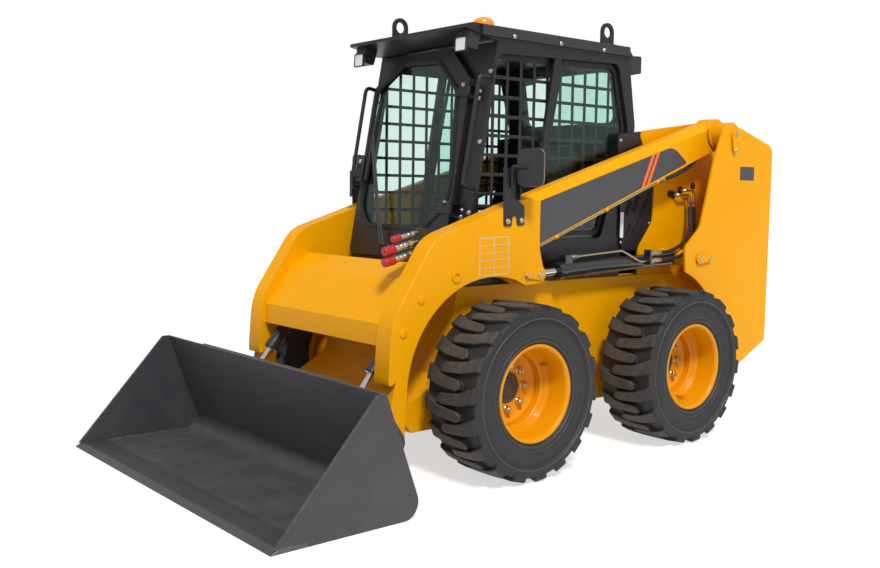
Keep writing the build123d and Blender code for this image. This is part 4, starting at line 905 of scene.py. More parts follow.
# %% Lamps
lens_clear = finish("lamp_lens", (0.70, 0.73, 0.74), 0.08, coat=0.8, tone=0.05, grain=120, bump=0.0012,
                    spread=0.05)
lens_red = finish("tail_lens", (0.45, 0.01, 0.01), 0.15, coat=0.8, tone=0.05, grain=160, bump=0.0008, spread=0.05)
LAMP_Y = 0.400
low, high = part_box("work_lights")
bezel = rounded([(-0.040, -0.034), (0.040, -0.034), (0.040, 0.034), (-0.040, 0.034)], 0.008)
for label, side in SIDES:
    lamp_face = on_plane((high[0] + 0.0005, side * LAMP_Y, high[2] - 0.062), (0, 1, 0), (-0.05, 0, 1))
    frame_strip(f"{label}_front_lamp_bezel", bezel, bezel * 0.84, lamp_face, -0.004, 0.005, plastic_black, "chassis")
    slab(f"{label}_front_lamp_lens", bezel * 0.86, lamp_face, -0.003, 0.003, lens_clear, "chassis")



def dome_sheet(foot, radius, ribs, rows=14, wall=0.72, wall_rise=0.082, cap_rise=0.030, taper=0.006):
    """Ribbed wall that narrows by taper and a round cap over it: rings at t = 0..1, the wall up to t = wall.

    Wall: out = radius - taper t / wall, rise = wall_rise t / wall; cap, with a from 0 to 90 degrees:
    out = (radius - taper) cos(0.97 a), rise = wall_rise + cap_rise sin a; out x (1 + 0.018 cos(ribs x angle)).
    """
    t = np.linspace(0, 1, rows)[:, None]
    angle = np.arange(ribs * 4)[None, :] * 2 * np.pi / (ribs * 4)
    bow = (t - wall) / (1 - wall) * np.pi / 2
    rise = np.where(t < wall, t / wall * wall_rise, wall_rise + cap_rise * np.sin(bow))
    out = np.where(t < wall, radius - taper * t / wall, (radius - taper) * np.cos(bow * 0.97))
    out = out * (1 + 0.018 * np.cos(ribs * angle) * (t < 0.75))
    return np.stack([foot[0] + out * np.cos(angle), foot[1] + out * np.sin(angle), foot[2] + rise + 0 * angle], -1)


RIBS = 30
low, high = (np.array(c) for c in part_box("beacon"))
foot = np.array([*(low + high)[:2] / 2, low[2]])
dome = dome_sheet(foot + (0, 0, 0.024), 0.060, RIBS)
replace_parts(solid("beacon_dome", dome, closed_faces(*dome.shape[:2]), amber, "chassis"), "beacon")
stacks("beacon_foot", [foot], (0, 0, 1), [
    (0, 0.066), (0.018, 0.066), (0.021, 0.063), (0.026, 0.063)], plastic_black,
    "chassis", sides=48)
print("lamps done, beacon ribs:", RIBS)

# %% [markdown]
# ## Roof and side glass
# A folded rail runs along each side of the roof, its top and edge painted pale as a satin highlight. The
# side panes hang outside the screens in black rubber, held by screws at their corners.

# %% Roof rails and side trim
def along_x(side, y, z):
    """Maps (out, up) of a section at (y, z) and a place x along it to a point, left or right."""
    return lambda flat, x: np.stack([np.full(len(flat), x), side * (y + flat[:, 0]), z + flat[:, 1]], -1)


RAIL = (0.000, 0.0), (0.010, 0.0), (0.012, 0.002), (0.012, 0.046), (0.010, 0.048), (0.000, 0.048)
# Each rail wears the finish whose pale top and edges are a painted highlight.
for label, side in SIDES:
    slab(f"{label}_roof_rail", RAIL, along_x(side, 0.4545, 2.000), -0.72, 0.335, roof_black_painted_highlight, "chassis")
    stacks(f"{label}_roof_screws", [(x, side * 0.4655, 2.012) for x in (0.130, -0.189, -0.510)], (0, side, 0),
           bolt_rings(0.007), bright_steel, "chassis")


def inset(corners, distance):
    """Corners moved in by a distance: each edge shifts along its normal and neighbours meet again."""
    edge = np.roll(corners, -1, axis=0) - corners
    turn = np.sign((corners[:, 0] * edge[:, 1] - corners[:, 1] * edge[:, 0]).sum())
    edge /= np.linalg.norm(edge, axis=1, keepdims=True)
    normal = turn * np.stack([-edge[:, 1], edge[:, 0]], -1)
    before = np.roll(normal, 1, axis=0)
    return corners + distance * (normal + before) / (1 + (normal * before).sum(1))[:, None]


OPENING = np.array([(-0.226, 1.942), (-0.650, 1.955), (-0.743, 1.620), (-0.552, 1.060), (-0.040, 1.060)])
outer, inner = rounded(inset(OPENING, 0.004), 0.045), rounded(inset(OPENING, 0.026), 0.035)
for label, side in SIDES:
    frame_strip(f"{label}_side_gasket", outer, inner, on_side(side, 0.4215), 0.0, 0.006, gasket_black, "chassis")
print("roof and side trim done")
# %% [markdown]
# ## Lift arms in three plates
# The real arm is a beam welded between two gooseneck plates. The beam lies a little behind the plates'
# faces and its top outer edge is bevelled, which catches the light as one bright line.

# %% Lift arms
AXLE, ARCH = (0.365, 0.398), 0.494              # front axle's x and z, and the arch's radius about it
PIVOT, HINGE, LIFT_EYE = (-1.344, 1.613), (0.930, 0.205), (0.0621, 0.8903)
LIFT_BASE, TILT_BASE = (-1.0557, 0.9322), (0.590, 0.905)
CREST, REAR_TOP = BEAM_TOP[1], BEAM_TOP[0]
ARM_IN, ARM_OUT, BEVEL = 0.490, NECK_FACE, 0.036
SLOT_LOW, SLOT_HIGH = 0.5145, 0.5705
BOX_FACE = 0.7065                               # outer face of the tower's pin plates


def arc(centre, radius, start, stop, steps):
    """Points (cx + r cos a, cz + r sin a) from start to stop degrees."""
    a = np.radians(np.linspace(start, stop, steps))
    return np.stack([centre[0] + radius * np.cos(a), centre[1] + radius * np.sin(a)], -1)


def neck_line(nose):
    """Gooseneck's outline: round its outer side, up the wheel arch's arc, and round the nose or its slot."""
    outer = rounded([
        (0.075, 1.239), (0.150, 1.255), CREST, (0.710, 1.078), (0.942, 0.736), (0.966, 0.428),
    ], [0.03, 0.02, 0.002, 0.06, 0.09, 0.06])
    foot = arc(HINGE, 0.058, 35, -180, 20)
    arch = arc(AXLE, ARCH, 4, 107.5, 40)
    if nose:
        end = np.concatenate([[(0.158, 0.842)], arc(LIFT_EYE, 0.044, -100, -235, 14)])
    else:
        end = np.array([(0.150, 0.850), (0.142, 0.985), (0.071, 0.985)])
    return np.concatenate([outer, foot, arch, end, [(0.066, 1.028)]])


def layered(name, flat, side, layers, material, body):
    """Outline drawn across the machine through layers (y, inset), each layer moved in by its inset."""
    sheets = [on_side(side, y)(flat if shrink == 0 else inset(flat, shrink), 0.0) for y, shrink in layers]
    return lofted(name, np.stack(sheets), material, body)


def beam(name, side, material):
    """Box beam whose top outer edge is cut back by BEVEL: y, then how far the top edge is lowered."""
    slope = math.atan2(CREST[1] - REAR_TOP[1], CREST[0] - REAR_TOP[0])
    drop = np.array([math.sin(slope), -math.cos(slope)])
    flat = np.array([REAR_TOP, CREST, (0.278, 1.045), BEAM_FOOT[1], BEAM_FOOT[0]])
    sheets = []
    for y, cut in ((ARM_IN + 0.002, 0.004), (ARM_IN + 0.006, 0), (BEAM_FACE - BEVEL, 0),
                   (BEAM_FACE - 0.002, BEVEL - 0.002), (BEAM_FACE, BEVEL)):
        layer = flat.copy()
        layer[:2] += drop * cut
        sheets.append(on_side(side, y)(layer, 0.0))
    return lofted(name, np.stack(sheets), material, "lift_arms", 25)


def keeper_line(pin, way, length=0.088, big=0.027, small=0.014):
    """Teardrop: an arc about the pin and a smaller arc about the bolt, joined by their tangents."""
    lean = math.degrees(math.acos((big - small) / length))
    bolt = arc(pin, length, way, way, 1)[0]
    around_pin = arc(pin, big, way + lean, way + 360 - lean, 28)
    return np.concatenate([around_pin, arc(bolt, small, way - lean, way + lean, 12)]), bolt


def pin_keeper(name, pin, way, y, side, material, body):
    """Keeper plate on a face, its bolt, and the pin's end standing through it."""
    line, bolt = keeper_line(pin, way)
    layered(f"{name}_keeper", line, side, ((y - 0.001, 0), (y + 0.0065, 0), (y + 0.008, 0.0015)), material, body)
    stacks(f"{name}_pin_end", [(pin[0], side * y, pin[1])], (0, side, 0), [
        (0, 0.015), (0.011, 0.015), (0.0125, 0.013), (0.0125, 0.004),
        (0.016, 0.004)], zinc, body, sides=20)
    stacks(f"{name}_keeper_bolt", [(bolt[0], side * (y + 0.008), bolt[1])], (0, side, 0), bolt_rings(0.009), zinc,
           body)


nose, slotted = neck_line(True), neck_line(False)
tilt_ring, tilt_hole = arc(TILT_BASE, 0.027, 0, 337.5, 16), arc(TILT_BASE, 0.015, 0, 337.5, 16)
foot = np.array([BEAM_FOOT[1][0], 0, BEAM_FOOT[1][1]])     # the oil line runs from here, under the beam
run = np.array([BEAM_FOOT[0][0], 0, BEAM_FOOT[0][1]]) - foot
run /= np.linalg.norm(run)
down = np.array([-run[2], 0, run[0]])
for label, side in SIDES:
    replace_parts(beam(f"{label}_arm_beam", side, body_yellow), f"{label}_lift_arm")
    layered(f"{label}_neck_outer", nose, side, ((SLOT_HIGH, 0), (ARM_OUT - 0.003, 0), (ARM_OUT, 0.003)),
            body_yellow, "lift_arms")
    layered(f"{label}_neck_inner", nose, side, ((ARM_IN, 0), (SLOT_LOW, 0)), body_yellow, "lift_arms")
    layered(f"{label}_neck_core", slotted, side, ((SLOT_LOW - 0.001, 0), (SLOT_HIGH + 0.001, 0)), body_yellow,
            "lift_arms")
    stacks(f"{label}_arm_pivot", [(PIVOT[0], side * ARM_IN, PIVOT[1])], (0, side, 0), [
        (0, 0.090), (0.094, 0.090), (0.097, 0.087), (0.097, 0.080),
        (0.107, 0.080), (0.1085, 0.078)], body_yellow, "lift_arms", sides=48)
    for x, z in ((0.788, 0.814), (0.886, 0.675)):
        stacks(f"{label}_arm_boss_{int(x * 1000)}", [(x, side * ARM_OUT, z)], (0, side, 0), [
            (-0.001, 0.020), (0.004, 0.020), (0.005, 0.018)], body_yellow, "lift_arms", sides=24)
    frame_strip(f"{label}_tilt_boss", tilt_ring, tilt_hole, on_side(side, ARM_OUT), -0.001, 0.007, body_yellow,
                "lift_arms")
    stacks(f"{label}_tilt_pin", [(TILT_BASE[0], side * 0.389, TILT_BASE[1])], (0, side, 0), [
        (0, 0.020), (0.070, 0.020), (0.070, 0.038), (0.102, 0.038)],
        body_yellow, "lift_arms", sides=24)
    pin_keeper(f"{label}_lift_eye", LIFT_EYE, 0, ARM_OUT, side, body_yellow, "lift_arms")
    stacks(f"{label}_lift_eye_pin", [(LIFT_EYE[0], side * (SLOT_LOW - 0.01), LIFT_EYE[1])], (0, side, 0), [
        (0, 0.0195), (0.07, 0.0195)], zinc, "lift_arms", sides=24)
    pin_keeper(f"{label}_pivot", PIVOT, -90, BOX_FACE, side, body_yellow, "chassis")
    pin_keeper(f"{label}_lift_base", LIFT_BASE, 180, BOX_FACE, side, body_yellow, "chassis")

    def beneath(along, off, y=0.578):
        """Point under the beam: along its foot from the front and off it, at y on this side."""
        return foot + along * run + off * down + (0, side * y, 0)

    tube(f"{label}_arm_line", [beneath(along, 0.008) for along in (0.005, 0.495, 0.985)], 0.0062, zinc,
         "lift_arms", straight=True)
    tube(f"{label}_arm_hose", [beneath(0.985, 0.008), beneath(1.105, 0.020), beneath(1.245, 0.022, 0.568),
                               beneath(1.36, 0.012, 0.548)], 0.0095, rubber_black, "lift_arms")
    stacks(f"{label}_arm_line_clips", [beneath(along, 0.004) for along in (0.118, 0.508, 0.938)], run, [
        (0, 0.013), (0.024, 0.013)], body_yellow, "lift_arms", sides=8)
    stacks(f"{label}_arm_line_nut", [beneath(0.965, 0.008)], run, [
        (0, 0.011, True), (0.034, 0.011, True), (0.034, 0.013), (0.05, 0.013)], zinc, "lift_arms")
print("lift arms rebuilt in plates")
# %% [markdown]
# ## Deep rims
# The rim is one spun sheet: a profile turned about the axle. The outer bead ledge is long, so the disc
# lies deep inside, and the drop between them shows as a row of rings. The axle's stub is shortened to
# meet it, and three thin ridges go round each tyre's wall, painted lighter than the tyre as a highlight.

# %% Rims
RIM, FLANGE, BEAD, SHEET = 0.143, 0.228, 0.206, 0.008
RIM_LINE = np.array([                       # across, out: closed section of the spun sheet
    (RIM, FLANGE - 0.011), (RIM - 0.002, FLANGE - 0.0075), (RIM - 0.006, FLANGE - 0.006),
    (RIM - 0.010, FLANGE - 0.008), (RIM - 0.012, FLANGE - 0.014), (RIM - 0.014, BEAD),
    (RIM - 0.110, BEAD), (RIM - 0.136, BEAD - 0.030), (-RIM + 0.084, BEAD - 0.030), (-RIM + 0.058, BEAD),
    (-RIM + SHEET, BEAD), (-RIM + SHEET, FLANGE), (-RIM, FLANGE), (-RIM, BEAD - SHEET),
    (-RIM + 0.062, BEAD - SHEET), (-RIM + 0.088, BEAD - 0.030 - SHEET), (RIM - 0.143, BEAD - 0.030 - SHEET),
    (RIM - 0.139, BEAD - 0.034), (RIM - 0.120, BEAD - 0.013), (RIM - 0.114, BEAD - SHEET - 0.001),
    (RIM - 0.110, BEAD - SHEET), (RIM - 0.020, BEAD - SHEET + 0.001), (RIM - 0.008, BEAD - SHEET + 0.005),
    (RIM - 0.003, BEAD - SHEET + 0.010), (RIM - 0.001, BEAD - SHEET + 0.014),
])
DISC_LINE = np.array([
    (-0.061, 0.1690), (-0.041, 0.1690), (-0.031, 0.1670), (-0.031, 0.1580), (-0.034, 0.1500), (-0.044, 0.1400),
    (-0.047, 0.1340), (-0.047, 0.0600), (-0.140, 0.0600), (-0.140, 0.0700), (-0.060, 0.0780), (-0.060, 0.1330),
])


def spun(name, line, centre, side, material, body, around=96, hard=35):
    """Surface of revolution of a closed (across, out) section about the axle."""
    angle = np.arange(around)[:, None] * 2 * np.pi / around
    shape = (around, len(line))
    across, out = np.broadcast_to(line[None, :, 0], shape), np.broadcast_to(line[None, :, 1], shape)
    points = wheel_points(across, np.broadcast_to(angle, shape), out, centre, side)
    return sharpen(solid(name, points, grid_faces(*shape, wrap_rows=True, wrap_cols=True), material, body), hard)


RIDGES = (0.1585, 0.3365, 0.0034), (0.1490, 0.2560, 0.0022), (0.1475, 0.2360, 0.0030)    # across, out, radius
for name, side, body, centre in WHEELS:
    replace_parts(spun(f"{name}_rim_spun", RIM_LINE, centre, side, rim_yellow, body), f"{name}_rim")
    spun(f"{name}_disc", DISC_LINE, centre, side, rim_yellow, body)
# The wall ridges wear lighter rubber, which paints a highlight ring on each.
for name, side, body, centre in WHEELS:
    for number, (across, out, size) in enumerate(RIDGES):
        spun(f"{name}_wall_ridge_{number}", arc((across, out), size, 0, 315, 8), centre, side, tyre_painted_highlight, body,
             hard=60)
HUB_FOOT = 0.480
hub_spots = [centre * (1, 0, 1) + (0, side * HUB_FOOT, 0) for _, side, _, centre in WHEELS]
hubs = stacks("axle_stubs", hub_spots, [(0, side, 0) for _, side, _, _ in WHEELS], [
    (0, 0.086), (0.016, 0.086), (0.016, 0.058), (0.211, 0.058)],
    iron_black, "chassis", sides=32)
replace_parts(hubs, "axle_hubs")
print("rims:", len(WHEELS))
# %% [markdown]
# ## Hydraulics in sight
# Each lift cylinder carries a port block, a bent steel tube and a clamp. Two hoses run from the clamp to
# elbows on the tower. On the machine one end turns with the cylinder and the other stays; here each hose
# is one smooth tube laid where the cylinder stands now, tied to no body.

# %% Cylinder lines and hoses
ALONG = np.array([LIFT_EYE[0] - LIFT_BASE[0], LIFT_EYE[1] - LIFT_BASE[1]])
ALONG /= np.linalg.norm(ALONG)
FORTH = np.array([ALONG[0], 0, ALONG[1]])
BARREL_Y, BARREL_END = 0.5425, 0.948
WALL_FACE = 0.4695                              # the tower's inner wall, where hoses go through


def by_barrel(along, out, up, side):
    """Point beside the lift barrel: along it from its base pin, out to its side and up off it."""
    return np.array([LIFT_BASE[0] + along * ALONG[0] - up * ALONG[1], side * (BARREL_Y + out),
                     LIFT_BASE[1] + along * ALONG[1] + up * ALONG[0]])


def barrel_block(name, low, high, layers, radius, side, body):
    """Block on a lift barrel from (along, up) low to high, drawn across through layers (out, inset)."""
    corners = [by_barrel(along, 0, up, side)[[0, 2]]
               for along, up in (low, (high[0], low[1]), high, (low[0], high[1]))]
    layered(name, rounded(corners, radius), side, [(BARREL_Y + out, cut) for out, cut in layers], barrel_black, body)


LOW_HOSE = [(-1.000, 0.622, 0.948), (-1.066, 0.616, 0.982), (-1.134, 0.594, 1.022), (-1.200, 0.562, 1.070),
            (-1.250, 0.526, 1.134), (-1.269, 0.506, 1.222)]
HIGH_HOSE = [(-0.982, 0.606, 0.990), (-1.052, 0.594, 1.012), (-1.124, 0.570, 1.044), (-1.180, 0.546, 1.090),
             (-1.216, 0.520, 1.150), (-1.227, 0.506, 1.222)]
PORT = BARREL_END - 0.075
TUBE_ROUTE = [(PORT - 0.020, 0.012, 0.062), ((PORT + 0.480) / 2, 0.012, 0.065), (0.500, 0.012, 0.068),
              (0.460, 0.018, 0.064), (0.392, 0.044, 0.022), (0.360, 0.050, 0.008), (0.300, 0.050, 0.006)]
HOSES = [(0.008, LOW_HOSE, 0.081, 0.084), (0.047, HIGH_HOSE, 0.055, 0.106)]    # fitting, route, elbow's rise and reach
for label, side in SIDES:
    cylinder = f"{label}_lift_cylinder"
    barrel_block(f"{label}_lift_port", (PORT - 0.026, 0.030), (PORT + 0.026, 0.076),
                 ((-0.019, 0.001), (-0.017, 0), (0.017, 0), (0.019, 0.001)), 0.005, side, cylinder)
    tube(f"{label}_lift_tube", [by_barrel(*spot, side) for spot in TUBE_ROUTE], 0.0065, zinc, cylinder, per_run=6)
    stacks(f"{label}_lift_tube_nut", [by_barrel(PORT - 0.025, 0.012, 0.062, side)], -FORTH, [
        (0, 0.0125, True), (0.034, 0.0125, True), (0.036, 0.010), (0.046, 0.009)], zinc, cylinder)
    barrel_block(f"{label}_lift_clamp", (0.290, -0.014), (0.306, 0.066),
                 ((0.033, 0), (0.074, 0), (0.076, 0.0015)), 0.003, side, cylinder)
    for number, (up, *_) in enumerate(HOSES):
        stacks(f"{label}_hose_fitting_{number}", [by_barrel(0.304, 0.064, up, side)], -FORTH, [
            (0, 0.010), (0.008, 0.010), (0.008, 0.0135, True), (0.030, 0.0135, True),
            (0.031, 0.0105), (0.050, 0.0105), (0.050, 0.0125, True), (0.072, 0.0125, True),
            (0.072, 0.0115), (0.096, 0.0115)], zinc, cylinder)
    for number, (up, route, lift, back) in enumerate(HOSES):
        start = [by_barrel(along, 0.064, up, side) for along in (0.215, 0.140)]
        points = np.concatenate([start, np.array(route) * (1, side, 1)])
        hose = tube(f"{label}_lift_hose_{number}", points, 0.0095, rubber_black, "free", per_run=10)
        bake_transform(hose)
        x, y, z = route[-1]
        top = z + lift
        tube(f"{label}_hose_elbow_{number}", [
            (x + back, side * 0.469, top), (x + back, side * (y - 0.016), top), (x + back - 0.016, side * y, top),
            (x + 0.016, side * y, top), (x, side * y, top - 0.016), (x, side * y, z)], 0.0082, zinc, "chassis",
            straight=True)
        stacks(f"{label}_elbow_nut_{number}", [(x, side * y, z - 0.012)], (0, 0, 1), [
            (0, 0.0118), (0.010, 0.0118), (0.010, 0.0135, True), (0.032, 0.0135, True)], zinc,
            "chassis")
        stacks(f"{label}_grommet_{number}", [(x + back, side * WALL_FACE, top)], (0, side, 0), [
            (0, 0.021), (0.006, 0.021), (0.010, 0.015), (0.014, 0.014)],
            rubber_black, "chassis", sides=20)
    for x, z in ((-1.091, 1.282), (-1.300, 1.330)):
        stacks(f"{label}_wall_grommet_{int(-x * 1000)}", [(x, side * WALL_FACE, z)], (0, side, 0), [
            (0, 0.020), (0.008, 0.020), (0.010, 0.016)], rubber_black, "chassis", sides=20)
print("lines and hoses done")
# %% [markdown]
# ## Mirrors, couplers and the slotted panel
# The mirror's back is a pressed tray with a bright rim, held to a folded bracket by a short rod and turned
# to the seat. The three quick couplers point forwards out of their block, each with a yellow zinc body, a
# ringed steel sleeve and a red dust cap.

# %% Mirrors
MIRROR_TURN = math.radians(19)
BRACKET = rounded([(0.308, 1.124), (0.315, 1.391), (0.221, 1.391), (0.221, 1.240), (0.179, 1.217), (0.176, 1.129),
                   (0.222, 1.125), (0.226, 1.171), (0.256, 1.171), (0.260, 1.123)],
                  [.010, .004, .004, .010, .012, .010, .010, .012, .012, .010])
half = np.array([(-0.0655, -0.085), (0.0655, -0.085), (0.0655, 0.085), (-0.0655, 0.085)])
for label, side in SIDES:
    bracket = slab(f"{label}_mirror_bracket", BRACKET, on_side(side, NECK_FACE), 0, 0.006, cab_black, "lift_arms")
    if side > 0:
        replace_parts(bracket, "mirrors")
    for number, x in enumerate((0.221, 0.309)):
        fold = [(x, 1.245), (x + 0.006, 1.245), (x + 0.006, 1.387), (x, 1.387)]
        slab(f"{label}_mirror_fold_{number}", fold, on_side(side, 0.596), 0, 0.023, cab_black, "lift_arms")
    stacks(f"{label}_mirror_bolts", [(x, side * 0.601, z) for x, z in ((0.284, 1.146), (0.196, 1.150))],
           (0, side, 0), bolt_rings(0.009), zinc, "lift_arms")
    wide = np.array([-math.sin(MIRROR_TURN), side * math.cos(MIRROR_TURN), 0])
    place = on_plane((0.223, side * 0.680, 1.393), wide * side, (0, 0, 1))
    slab(f"{label}_mirror_tray", rounded(half, 0.034), place, -0.007, 0.008, plastic_black, "lift_arms")
    frame_strip(f"{label}_mirror_rim", rounded(half * 1.012, 0.034), rounded(half * (0.945, 0.958), 0.031), place,
                -0.0085, -0.0035, zinc, "lift_arms")
    slab(f"{label}_mirror_glass", rounded(half * (0.95, 0.962), 0.031), place, -0.0078, -0.0065, mirror_glass,
         "lift_arms")
    tube(f"{label}_mirror_rod", [(0.268, side * 0.606, 1.300), (0.268, side * 0.606, 1.392),
                                 (0.246, side * 0.640, 1.393), (0.232, side * 0.672, 1.393)], 0.008, cab_black,
         "lift_arms", per_run=5)
print("mirrors done")

# %% Quick couplers
block = slab("coupler_block", rounded([(0.665, 0.985), (0.705, 0.985), (0.705, 1.117), (0.665, 1.117)], 0.004),
             on_side(1, 0.440), 0, 0.050, iron_black, "lift_arms")
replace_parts(block, "hydraulic_couplers")
dip = math.radians(-12)
ahead = np.array([math.cos(dip), 0, math.sin(dip)])
BODY = (0, 14), (24, 14), (24, 17), (44, 17), (46, 14), (60, 14)     # along, radius in mm of a full-size coupler
SLEEVE = ((58, 15), (60, 16), (78, 16), (79, 15), (82, 15), (83, 16), (101, 16), (102, 15), (105, 15), (106, 16),
          (126, 16), (128, 15), (128, 12), (136, 12))
CAP = ((132, 12), (132, 20), (134, 21), (150, 21), (152, 19.5), (156, 19.5), (158, 21), (186, 21), (190, 19),
       (190, 6), (194, 5))
for number, (z, size) in enumerate(((1.007, 1), (1.055, 1), (1.097, 0.75))):
    for part, line, material, sides in (("body", BODY, zinc, 24), ("sleeve", SLEEVE, bright_steel, 32),
                                        ("cap", CAP, cap_red, 28)):
        stacks(f"coupler_{part}_{number}", [(0.701, 0.455, z)], ahead, np.array(line) * size / 1000, material,
               "lift_arms", sides=sides)
tube("coupler_leash", [(0.73, 0.4405, 1.050), (0.80, 0.430, 1.040), (0.845, 0.431, 1.018), (0.868, 0.437, 1.012)],
     0.002, cap_red, "lift_arms", sides=8)
print("couplers done")

# %% Slotted panel behind the cab door's post
PANEL = [(-0.699, 0.976), (-0.651, 1.482), (-0.645, 1.590), (-0.847, 1.617), (-0.963, 1.306), (-0.956, 1.128),
         (-0.847, 0.976)]
SLOTS = [                                       # middle's x and z, half width, length, slant in degrees
    (-0.742, 1.330, 0.016, 0.090, -70), (-0.744, 1.205, 0.016, 0.090, -66), (-0.752, 1.090, 0.016, 0.070, -60),
    (-0.800, 1.365, 0.017, 0.110, -70), (-0.806, 1.225, 0.017, 0.105, -66), (-0.816, 1.105, 0.016, 0.075, -60),
    (-0.862, 1.330, 0.017, 0.110, -70), (-0.872, 1.195, 0.017, 0.095, -66), (-0.912, 1.260, 0.014, 0.070, -70),
]
PANEL_SCREWS = (-0.668, 1.56), (-0.690, 1.02), (-0.93, 1.12), (-0.835, 1.59)
SHEET_FACE, SHEET_THICK = 0.4625, 0.004


def slot_line(x, z, half_width, reach, way, grow=0.0):
    """Slot of two half circles, half_width + grow about the ends of a run of length reach - 2 half_width."""
    run = arc((0, 0), reach / 2 - half_width, way, way, 1)[0]
    return np.concatenate([arc((x, z) - run, half_width + grow, way + 90, way + 270, 9),
                           arc((x, z) + run, half_width + grow, way - 90, way + 90, 9)])


# Each slot is a near-black sheet, painted shade for the dark space behind it, inside a raised lip.
for label, side in SIDES:
    face = on_side(side, SHEET_FACE)
    slab(f"{label}_vent_panel", rounded(PANEL, 0.03), face, -SHEET_THICK, 0, cab_black, "chassis")
    for number, slot in enumerate(SLOTS):
        slab(f"{label}_vent_painted_shade_{number}", slot_line(*slot), face, -0.002, 0.0003, slot_painted_shade, "chassis")
        frame_strip(f"{label}_vent_lip_{number}", slot_line(*slot, grow=0.003), slot_line(*slot), face, -0.002,
                    0.0020, cab_black, "chassis")
    stacks(f"{label}_vent_screws", [(x, side * SHEET_FACE, z) for x, z in PANEL_SCREWS], (0, side, 0),
           bolt_rings(0.006), zinc, "chassis")
print("slotted panels done")
# %% [markdown]
# ## Seat cushions
# A seat cushion is foam pulled into a sewn cover, so it is crowned in the middle and pulled in at its
# edges. Each cushion starts as a slightly small block, is remeshed into even squares, and Blender's Cloth
# blows it up with a little pressure and no gravity. How far a point may move is capped.

# %% Seat
SEAT_X, DECK = -0.085, 0.806                    # the cushions' front and the cab floor
CLOTH_FRAMES = 20


def coordinates(mesh):
    """A mesh's points as one flat array, x y z after x y z."""
    flat = np.empty(len(mesh.vertices) * 3)
    mesh.vertices.foreach_get("co", flat)
    return flat


def pushed_out(name, outline, half, cap, material, body, pressure=4.0, voxel=0.010):
    """Cushion from a side outline and half width: a block one cap smaller, blown up by cloth pressure.

    Each point ends at start + shift x min(1, cap / |shift|), where shift is what the cloth moved it.
    """
    line = rounded(inset(np.array(outline), cap * 0.6), 0.02, steps=5)
    steps = np.array([-half + 0.010, -half + 0.022, half - 0.022, half - 0.010])
    inner = inset(line, 0.010)
    sheets = np.stack([on_side(1, y)(flat, 0.0) for y, flat in zip(steps, (inner, line, line, inner))])
    piece = solid(name, sheets, closed_faces(*sheets.shape[:2]), material, "free")
    remesh = piece.modifiers.new("even squares", "REMESH")
    remesh.mode, remesh.voxel_size, remesh.use_smooth_shade = "VOXEL", voxel, True
    piece.data = bpy.data.meshes.new_from_object(piece.evaluated_get(bpy.context.evaluated_depsgraph_get()))
    piece.modifiers.clear()
    start = coordinates(piece.data)
    cloth = piece.modifiers.new("blown up", "CLOTH")
    cloth.settings.use_pressure, cloth.settings.uniform_pressure_force = True, pressure
    cloth.settings.effector_weights.gravity = 0
    for moment in range(1, CLOTH_FRAMES + 1):
        bpy.context.scene.frame_set(moment)
    blown = piece.evaluated_get(bpy.context.evaluated_depsgraph_get())
    shift = (coordinates(blown.data) - start).reshape(-1, 3)
    piece.modifiers.clear()
    bpy.context.scene.frame_set(1)
    far = np.linalg.norm(shift, axis=1, keepdims=True)
    shift *= np.minimum(1, cap / np.maximum(far, 1e-9))
    piece.data.vertices.foreach_set("co", (start.reshape(-1, 3) + shift).ravel())
    piece.data.materials.clear()
    piece.data.materials.append(material)
    piece.data.polygons.foreach_set("use_smooth", np.ones(len(piece.data.polygons), dtype=bool))
    soft = piece.modifiers.new("soft", "SUBSURF")
    soft.levels = soft.render_levels = 1
    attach(piece, body)


def seat_line(*corners):
    """(back from the seat's front, up from the floor) corners to (x, z)."""
    return np.array([(SEAT_X - back, DECK + up) for back, up in corners])


squab = seat_line((0, 0.130), (-0.006, 0.200), (0.030, 0.226), (0.400, 0.200), (0.400, 0.132))
back = seat_line((0.405, 0.180), (0.500, 0.180), (0.560, 0.700), (0.530, 0.760), (0.470, 0.740), (0.440, 0.560))
pushed_out("seat_squab", squab, 0.240, 0.012, vinyl_black, "chassis")
pushed_out("seat_backrest", back, 0.220, 0.012, vinyl_black, "chassis")
pan = slab("seat_pan", rounded(seat_line((0.005, 0.100), (0.005, 0.132), (0.505, 0.132), (0.505, 0.100)), 0.01),
           on_side(1, -0.235), 0, 0.470, plastic_black, "chassis")
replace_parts(pan, "seat")
slab("seat_base", seat_line((0.470, 0), (0.060, 0), (0.060, 0.100), (0.470, 0.100)), on_side(1, -0.190), 0, 0.380,
     plastic_black, "chassis")
slab("seat_shell", seat_line((0.500, 0.180), (0.518, 0.180), (0.582, 0.700), (0.540, 0.772), (0.528, 0.764),
                             (0.562, 0.700)), on_side(1, -0.212), 0, 0.424, plastic_black, "chassis")
for number, y in enumerate((-0.225, 0.225)):
    welt = on_side(1, y)(seat_line((0.390, 0.196), (0.200, 0.210), (0.030, 0.222), (-0.001, 0.196)), 0)
    tube(f"seat_squab_welt_{number}", welt, 0.0035, vinyl_black, "chassis", sides=8)
print("seat done")
# %% [markdown]
# ## The rear
# Tail lamps sit on the uprights' rear faces, the grille door closes with a paddle latch, and the two rear
# work lamps look backwards from under the roof.

# %% Rear lamps, latch and bolts
DOOR_X, TOWER_X, LAMP_X = -1.7372, -1.7392, -0.837
TAIL_Y, TAIL_Z = 0.575, 1.130
LATCH_Y, LATCH_Z = -0.385, 0.905
HINGE_Y = 0.405
HOUSING = [(LAMP_X, 1.926), (-0.831, 1.920), (-0.735, 1.905), (-0.722, 1.914), (-0.722, 2.000), (-0.735, 2.006),
           (-0.831, 2.012), (LAMP_X, 2.006)]


def rear_face(x, y, z):
    """Plane facing backwards through (x, y, z): its first axis runs to the machine's right."""
    return on_plane((x, y, z), (0, -1, 0), (0, 0, 1))


def oblong(width, height, radius):
    """Rounded rectangle about the origin."""
    return rounded([(-width / 2, -height / 2), (width / 2, -height / 2), (width / 2, height / 2),
                    (-width / 2, height / 2)], radius)


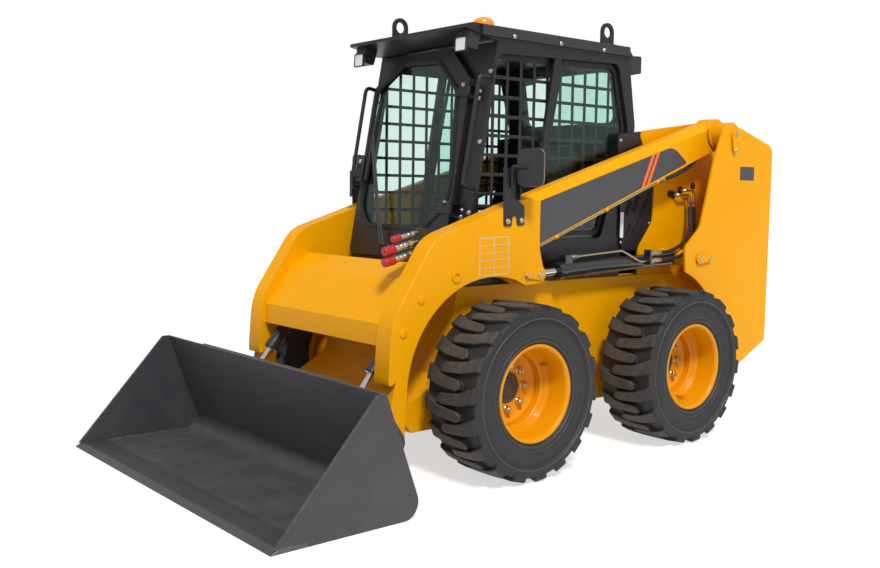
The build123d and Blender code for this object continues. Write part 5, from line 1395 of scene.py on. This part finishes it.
for label, side in SIDES:
    face = rear_face(TOWER_X, side * TAIL_Y, TAIL_Z)
    slab(f"{label}_tail_plate", oblong(0.074, 0.170, 0.012), face, -0.001, 0.010, plastic_black, "chassis")
    for number, (height, up, lens) in enumerate(((0.092, 0.030, lens_red), (0.048, -0.050, amber))):
        shape = oblong(0.060, height, 0.009) + (0, up)
        slab(f"{label}_tail_lens_{number}", shape, face, 0.009, 0.0145, lens, "chassis")
        slab(f"{label}_tail_lens_top_{number}", inset(shape, 0.003), face, 0.0144, 0.0162, lens, "chassis")
    stacks(f"{label}_tail_screws", [(TOWER_X - 0.010, side * TAIL_Y, TAIL_Z + up) for up in (0.080, -0.080)],
           (-1, 0, 0), bolt_rings(0.004), zinc, "chassis")
    slab(f"{label}_rear_lamp", HOUSING, on_side(side, 0.353), 0, 0.094, plastic_black, "chassis")
    lamp = rear_face(LAMP_X, side * LAMP_Y, 1.966)
    frame_strip(f"{label}_rear_lamp_bezel", oblong(0.088, 0.080, 0.008), oblong(0.074, 0.066, 0.007), lamp, -0.001,
                0.004, plastic_black, "chassis")
    slab(f"{label}_rear_lamp_lens", oblong(0.076, 0.068, 0.007), lamp, -0.001, 0.002, lens_clear, "chassis")
    spots = [(TOWER_X, side * y, z) for y in (0.470, 0.680) for z in (0.52, 1.38)]
    stacks(f"{label}_tower_bolts", spots, (-1, 0, 0), bolt_rings(0.009), zinc, "chassis")

latch = rear_face(DOOR_X, LATCH_Y, LATCH_Z)
slab("rear_latch_plate", oblong(0.066, 0.118, 0.012), latch, -0.001, 0.006, plastic_black, "rear_door")
slab("rear_latch_paddle", oblong(0.044, 0.070, 0.008) + (0, -0.012), latch, 0.005, 0.012, plastic_black, "rear_door")
stacks("rear_latch_lock", [(DOOR_X - 0.006, LATCH_Y, LATCH_Z + 0.038)], (-1, 0, 0), [
    (0, 0.011), (0.006, 0.011), (0.007, 0.009), (0.007, 0.004)], bright_steel,
    "rear_door", sides=20)
for number, z in enumerate((0.640, 1.120)):
    slab(f"rear_hinge_door_{number}", oblong(0.050, 0.074, 0.006), rear_face(DOOR_X, HINGE_Y, z), -0.001, 0.004,
         body_yellow, "rear_door")
    stacks(f"rear_hinge_door_bolts_{number}", [(DOOR_X - 0.004, HINGE_Y, z + up) for up in (-0.022, 0.022)],
           (-1, 0, 0), bolt_rings(0.006), zinc, "rear_door")
print("rear trim done")

# %% [markdown]
# ## Measure
# The finished model should keep to the imported model's box, give or take a tail lamp's depth, so its
# size is printed at the end.

# %% Finish
low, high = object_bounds()
print("size:", [round(b - a, 3) for a, b in zip(low, high)])
